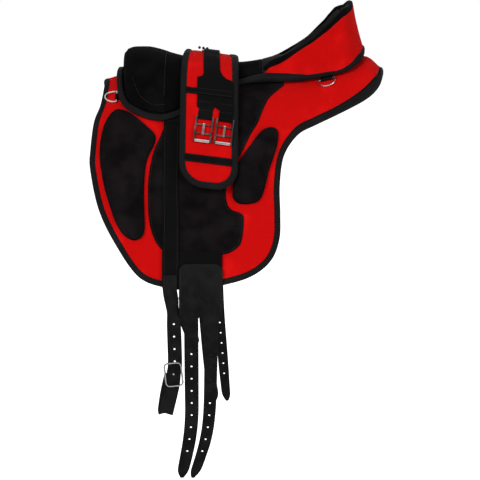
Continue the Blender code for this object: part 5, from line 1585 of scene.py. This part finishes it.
@dataclass
class Girth:
    """Padded girth laid over the seat, with its strap and buckles."""

    place: float = -0.202 * 0.295
    width: float = 0.115
    half_length: float = 0.337
    corner: float = 0.046
    body: float = 0.009
    binding: float = 0.0135
    proud: float = 0.0012
    tuck: float = 0.92
    seam: float = 0.82
    pulled: float = 0.010
    course_width: float = 0.212
    course_height: float = 0.263
    tilt: float = math.tan(math.radians(7.1))
    shift: float = 0.0125
    strap: float = 0.0020
    ridge: float = 0.0579
    wide: float = 0.0362
    strap_sides: Table = (
        (0.015, 0), (0.015, 0.012), (0.0159, 0.024), (0.0165, 0.067), (0.0165, 0.085), (0.0172, 0.093),
        (0.0195, 0.1), (0.024, 0.105), (0.0342, 0.1085), (0.0362, 0.1135), (0.0362, 0.156), (0.0362, 0.176))
    keeper: float = 0.0014
    keeper_place: float = 0.140
    keeper_width: float = 0.014
    cross_width: float = 0.016
    climb: float = 0.006
    margin: float = 0.002
    cross_place: float = 0.281
    spacing: float = 0.0405
    bar_diagonal: float = 0.0028 * 1.414
    buckle_top: float = 0.197
    tab_width: float = 0.0285
    tab_wall: float = 0.0015
    tab_length: float = 0.026
    tab_rows: tuple[tuple[str, float], ...] = (("upper", 0.163), ("lower", 0.181))
    tab_row: float = 0.022
    hump_rise: float = 0.0037
    hump_reach: float = 0.0337
    hump_slope: float = 0.0168
    knobs: Row = (-0.0835, -0.0755, -0.0675)
    knob: float = 0.0029
    knob_rise: float = 0.0062
    knob_run: float = 0.006
    left_runs: Row = (0, 0.02, 0.05, 0.11)
    left_narrows: Row = (0.0055, 0.0045, 0.002, 0)
    right_runs: Row = (0, 0.014, 0.03, 0.09)
    right_narrows: Row = (0.008, 0.0045, 0.0015, 0)
    shift_runs: Row = (0, 0.09, 0.115)
    shifts: Row = (0.1, 0.35, 1)
    notch: Table = ((-0.0035, 0), (-0.003, 0.002), (0, 0.0045), (0.003, 0.002), (0.0035, 0))
    course_shares: Table = (
        (0, 0), (0.212, 0.019), (0.387, 0.099), (0.5, 0.213), (0.646, 0.392), (0.792, 0.601), (0.925, 0.829),
        (0.972, 0.932), (1.02, 1.06))

    def __post_init__(self) -> None:
        """Work out the course of the girth over the seat."""
        rough = np.array([(y * self.course_width, self.ridge - z * self.course_height)
                          for y, z in self.course_shares])
        line = trace(np.vstack([rough[:0:-1] * (-1, 1), rough]), 0.002, closed=False)
        self.line = line[len(line) // 2:]
        self.run = lengths(self.line)
        along = np.gradient(self.line, axis=0)
        along[0] = (1, 0)
        self.out = unit(np.stack([-along[:, 1], along[:, 0]], -1))
        self.top = self.proud + self.body
        self.strap_low = self.top + GAP
        self.bar_level = self.strap_low + self.bar_diagonal / 2 + PIVOT_PLAY + self.tab_wall

    def __call__(self, x: Array, s: Array, h: Array) -> Array:
        """Lay points of the girth: s runs down from the ridge, near side above 0."""
        run = np.abs(s)
        out = looked_up(run, self.run, self.out)
        spot = looked_up(run, self.run, self.line) + out * np.asarray(h)[..., None]
        side = np.where(np.asarray(s) > 0, -1.0, 1.0)
        z = spot[..., 1] - self.tilt * (np.asarray(x) - self.place)
        return np.stack(np.broadcast_arrays(x, side * spot[..., 0], z), -1)

    def edge(self) -> Array:
        """Outline of the girth, narrower where it lies over the ridge."""
        half = self.width / 2
        straight = self.half_length - self.corner
        inner = half - self.corner
        points = []
        for edge, low, centres in ((-half, -straight, ((-inner, 180, 90), (inner, 90, 0))),
                                   (half, straight, ((inner, 0, -90), (-inner, -90, -180)))):
            points += [(edge, s) for s in np.linspace(low, -low, 90)]
            for centre, start, end in centres:
                points += [(centre + self.corner * math.cos(a), -low + self.corner * math.sin(a))
                           for a in np.radians(np.linspace(start, end, 12)[1:])]
        outline = evened(np.array(points) + (self.place, 0), CELL)[:-1]
        run = np.abs(outline[:, 1])
        left = np.interp(run, self.left_runs, self.left_narrows)
        right = np.interp(run, self.right_runs, self.right_narrows)
        outline[:, 0] += np.where(outline[:, 0] < self.place, left, -right)
        return outline

    def level(self, height: float) -> Height:
        """Make a height over the girth's inner face that is the same everywhere."""
        return lambda x, s: np.full(np.shape(x), height)

    def body_top(self, x: Array, s: Array) -> Array:
        """Upper face of the padded body, pulled down along its binding."""
        near = np.clip(edge_distance(x, s, self.body_edge) / self.pulled, 0, 1)
        return self.top - self.proud * (1 - near) ** 2 + softness(x, s, 0.0003) - 0.0002

    def build(self) -> None:
        """Make the pieces of the girth."""
        edge = self.edge()
        self.body_edge = inset(edge, self.binding * self.tuck)
        body = slab("girth_pad", self.body_edge, self.level(self.proud), self.body_top, self, RED_MESH,
                    CELL, 0.0012)
        settle(body, "girth", "girth_body", fill=0.7)
        bind_edge("girth", edge, self.binding, self.binding * self.seam,
                  (self.level(0.0), self.level(self.top + self.proud)), self,
                  ("girth", "girth_binding"), 0.0008)
        self.build_strap()
        self.build_keepers()
        self.build_knobs()

    def middle(self, s: float) -> float:
        """Centre line of the strap, which moves over towards the buckles."""
        return self.place + self.shift * float(np.interp(abs(s), self.shift_runs, self.shifts))

    def strap_under(self, x: Array, s: Array) -> Array:
        """Lower face of the strap, which rises over the ring at the ridge."""
        rise = np.clip((self.hump_reach - np.abs(s)) / self.hump_slope, 0, 1)
        return self.strap_low + self.hump_rise * rise

    def build_strap(self) -> None:
        """Make the strap and the tabs that fold round the buckles' bars."""
        end = self.strap_sides[-1][1]
        half = [(self.middle(s) - w, s) for w, s in self.strap_sides]
        half += [(self.place + self.shift + x, end - s) for x, s in self.notch]
        half += [(self.middle(s) + w, s) for w, s in reversed(self.strap_sides)]
        outline = np.array(half + [(x, -s) for x, s in reversed(half) if s > 0])
        piece = slab("girth_strap_web", outline, self.strap_under,
                     lambda x, s: self.strap_under(x, s) + self.strap, self, WEB, CELL, 0.0006)
        settle(piece, "girth", "girth_strap")
        for which, sign in ENDS:
            x = self.place + self.shift + sign * self.spacing / 2
            fold = folded(f"near_{which}_strap_tab", self.axes(x, self.buckle_top, self.bar_level),
                          self.tab_width, self.bar_diagonal, self.tab_wall, self.tab_length, WEB)
            pair(fold, "girth")
            for row, s in self.tab_rows:
                self.row_across(f"near_{which}_tab_{row}_stitches", x, self.tab_row / 2, s, 12,
                                self.level(self.strap_low + self.strap))

    def row_across(self, name: str, middle: float, reach: float, s: float, count: int,
                   level: Height) -> None:
        """Make a row of stitches across the girth, and its mirror image.

        Args:
            name: Name of the near row.
            middle: Its middle, along the saddle.
            reach: How far it goes to each side of that.
            s: Its run from the ridge.
            count: Points of its line.
            level: Height it lies at.
        """
        line = np.stack([np.linspace(middle - reach, middle + reach, count), np.full(count, s)], -1)
        pair(laid_stitches(name, line, level, self), "girth")

    def axes(self, x: float, s: float, h: float) -> Array:
        """Axes on the girth as rows: place, along the saddle, up it, and out of it."""
        spot, out = frames(self, x, np.array([s]), h)
        along = unit(self(np.array([x + 0.001]), np.array([s]), np.array([h])) - spot)
        return np.array([spot[0], along[0], np.cross(out[0], along[0]), out[0]])

    def build_keepers(self) -> None:
        """Make the keepers over the strap and the tapes below the buckles."""
        span = self.width / 2 - self.binding + self.margin
        for name, place, wide, over, node in (
                ("keeper_tape", self.keeper_place, self.keeper_width, True, "near_girth_keeper"),
                ("cross_tape", self.cross_place, self.cross_width, False, "")):
            def low(x: Array, s: Array, over: bool = over) -> Array:
                """Lower face of the tape, raised where it passes over the strap."""
                away = np.abs(x - self.place - self.shift) - self.wide
                raised = np.clip(1 - away / self.climb, 0, 1) if over else np.zeros(np.shape(x))
                return self.strap_low + (self.strap + GAP) * raised * raised * (3 - 2 * raised)

            def high(x: Array, s: Array, low: Height = low) -> Array:
                """Upper face of the tape."""
                return low(x, s) + self.keeper

            outline = np.array([(self.place + a * span, place + b * wide / 2)
                                for a, b in ((-1, -1), (-1, 1), (1, 1), (1, -1))])
            tape = slab(f"near_{name}", outline, low, high, self, WEB, 0.004, 0.0005)
            pair(tape, "girth", node)
            for which, sign in (("upper", -1), ("lower", 1)):
                self.row_across(f"near_{name}_{which}_stitches", self.place, span - self.margin,
                                place + sign * (wide / 2 - self.margin), 30, high)

    def build_knobs(self) -> None:
        """Make the three small knobs at the ridge, before the strap."""
        around = np.linspace(0, math.tau, 12, endpoint=False)
        for number, x in enumerate(self.knobs, 1):
            spot = self(np.array(x), np.array(-self.knob_run), np.array(self.strap_low + self.knob_rise))
            rings = np.array([[spot + self.knob * np.array([math.cos(turn) * math.cos(a),
                                                            math.cos(turn) * math.sin(a), math.sin(turn)])
                               for a in around] for turn in np.radians((-80, -50, -20, 10, 40, 65, 85))])
            flat = rings.reshape(-1, 3)
            settle(build(f"ridge_knob_{number}", flat, tube(rings, False), flat[:, :2], THREAD), "girth")


def folded(name: str, axes: Array, width: float, bar: float, wall: float, strip: float,
           finish: Finish) -> Piece:
    """Fold a strip round a bar.

    Args:
        name: Name of the piece.
        axes: Rows: place of the bar, along it, up the strip, and out of the cloth.
        width: Width of the strip.
        bar: Diameter of the bar.
        wall: Thickness of the strip.
        strip: Length of the strip over the bar.
        finish: What it is finished in.

    Returns:
        The piece.
    """
    place, _, up, out = axes
    inner = bar / 2 + PIVOT_PLAY
    radius = inner + wall / 2
    outer = inner + wall
    meet = math.degrees(math.asin((outer - wall) / outer))
    flat = [(strip * k / 6, -radius, 0, -1) for k in range(6, 0, -1)]
    for turn in np.radians(np.linspace(-90, -360 - meet + 14, 22)):
        flat.append((radius * math.cos(turn), radius * math.sin(turn), math.cos(turn), math.sin(turn)))
    a, b, c, d = np.array(flat)[:, :, None].transpose(1, 0, 2)
    return ribbon(name, place + up * a + out * b, up * c + out * d, np.full(len(flat), width), wall, finish)


@dataclass
class Dees:
    """Folded chapes that hold the dees."""

    wire: float = 0.003
    wall: float = 0.0012
    length: float = 0.012
    level: float = 0.0055
    widths: tuple[tuple[str, float], ...] = (("front", 0.014), ("rear", 0.024))

    def build(self) -> None:
        """Make the four chapes."""
        for which, width in self.widths:
            place, axis = joint_place(f"near_{which}_dee_swing")
            spots, outs = frames(BACK.over, place[0], np.linspace(0.02, 0.2, 400), self.level)
            nearest = outs[np.argmin(np.linalg.norm(spots - place, axis=1))]
            out = unit(nearest - axis * np.dot(nearest, axis))
            axes = np.array([place, -axis, np.cross(out, -axis), out])
            chape = folded(f"near_{which}_dee_loop", axes, width, self.wire, self.wall, self.length, WEB)
            pair(chape, "saddle", f"near_{which}_chape")


class Hardware:
    """Metal parts, which stay the CAD's own."""

    def build(self) -> None:
        """Give the metal parts their finish."""
        for name, node in frame["nodes"].items():
            if name.endswith(("dee", "stirrup_buckle", "girth_ring", "tongue", "roller")):
                self.plate(node, NICKEL)
            # The girth buckles take the darkened nickel with its painted dark reflection.
            elif name.endswith("girth_buckle"):
                self.plate(node, DARK_REFLECTION_NICKEL)

    @staticmethod
    def plate(node: Piece, finish: Finish) -> None:
        """Plate one part and round its edges."""
        made = finish.material()
        if node.material_slots:
            for holder in node.material_slots:
                holder.material = made
        else:
            node.data.materials.append(made)
        node.data.shade_smooth()
        edges = node.modifiers.new("rounded edges", "BEVEL")
        edges.width = 0.0003
        edges.segments = 2
        edges.limit_method = "ANGLE"
        edges.angle_limit = math.radians(50)


@dataclass
class Studio:
    """White studio: camera, floor and soft lights."""

    eye: Triple = (0.021, -2.6, 0.209)
    target: Triple = (0.0, 0.0, -0.326)
    lens: float = 93.9
    floor: float = -0.93
    ambient: float = 0.34
    lights: tuple[tuple[str, Triple, float, float], ...] = (
        ("key light", (-1.5, -2.8, 1.3), 1.6, 72), ("fill light", (1.9, -2.2, 0.3), 1.8, 34),
        ("top light", (0.2, 0.4, 2.4), 2.0, 14), ("back light", (0.4, 2.6, 0.6), 1.8, 10))
    floor_reach: float = 12
    floor_tone: float = 0.75

    def build(self) -> None:
        """Set up the studio."""
        camera = placed("camera", bpy.data.cameras.new("camera"))
        camera.data.lens = self.lens
        camera.data.sensor_width = 36
        camera.location = self.eye
        camera.rotation_euler = self.aim(self.eye)
        bpy.context.scene.camera = camera
        bpy.context.scene.view_settings.view_transform = "Standard"
        for light in self.lights:
            self.light(*light)
        self.surround()
        self.ground()

    def aim(self, place: Sequence[float]) -> object:
        """Turn from a place to the target."""
        return (Vector(self.target) - Vector(place)).to_track_quat("-Z", "Y").to_euler()

    def light(self, name: str, place: Triple, size: float, power: float) -> None:
        """Add one soft light that shines on the saddle."""
        lamp = bpy.data.lights.new(name, "AREA")
        lamp.size = size
        lamp.energy = power
        made = placed(name, lamp)
        made.location = place
        made.rotation_euler = self.aim(place)

    def surround(self) -> None:
        """White to the camera, and soft grey light to everything else."""
        world = bpy.data.worlds.new("studio")
        bpy.context.scene.world = world
        world.use_nodes = True
        wiring = Wiring(world.node_tree)
        path = wiring.add("ShaderNodeLightPath")
        strength = wiring.fitted(path.outputs["Is Camera Ray"], 0.0, 1.0, self.ambient, 1.0)
        background = world.node_tree.nodes["Background"]
        background.inputs["Color"].default_value = (1, 1, 1, 1)
        wiring.feed(background.inputs["Strength"], strength)

    def ground(self) -> None:
        """A plain pale floor well under the billets."""
        mesh = bpy.data.meshes.new("floor")
        mesh.from_pydata([(x * self.floor_reach, y * self.floor_reach, self.floor)
                          for x, y in ((-1, -1), (1, -1), (1, 1), (-1, 1))], [], [(0, 1, 2, 3)])
        floor = placed("floor", mesh)
        paint = bpy.data.materials.new("pale floor")
        paint.use_nodes = True
        shader = paint.node_tree.nodes["Principled BSDF"]
        shader.inputs["Base Color"].default_value = (*[self.floor_tone] * 3, 1)
        shader.inputs["Roughness"].default_value = 1.0
        shader.inputs["Specular IOR Level"].default_value = 0.0
        wiring = Wiring(paint.node_tree)
        seen = wiring.add("ShaderNodeLightPath").outputs["Is Camera Ray"]
        glow = wiring.mixed(seen, (0.0, 0.0, 0.0, 1.0), (1.0, 1.0, 1.0, 1.0))
        wiring.feed(shader.inputs["Emission Color"], glow)
        shader.inputs["Emission Strength"].default_value = 1.0
        mesh.materials.append(paint)


def main() -> None:
    """Build the saddle's looks and the studio."""
    logging.basicConfig(level=logging.INFO)
    for part in (Panels(), Overlay(), Blocks(), Seat(), STIRRUP, Billets(), Girth(), Dees(), Hardware(),
                 Studio()):
        LOG.info("building %s", type(part).__name__)
        part.build()


if __name__ == "__main__":
    main()
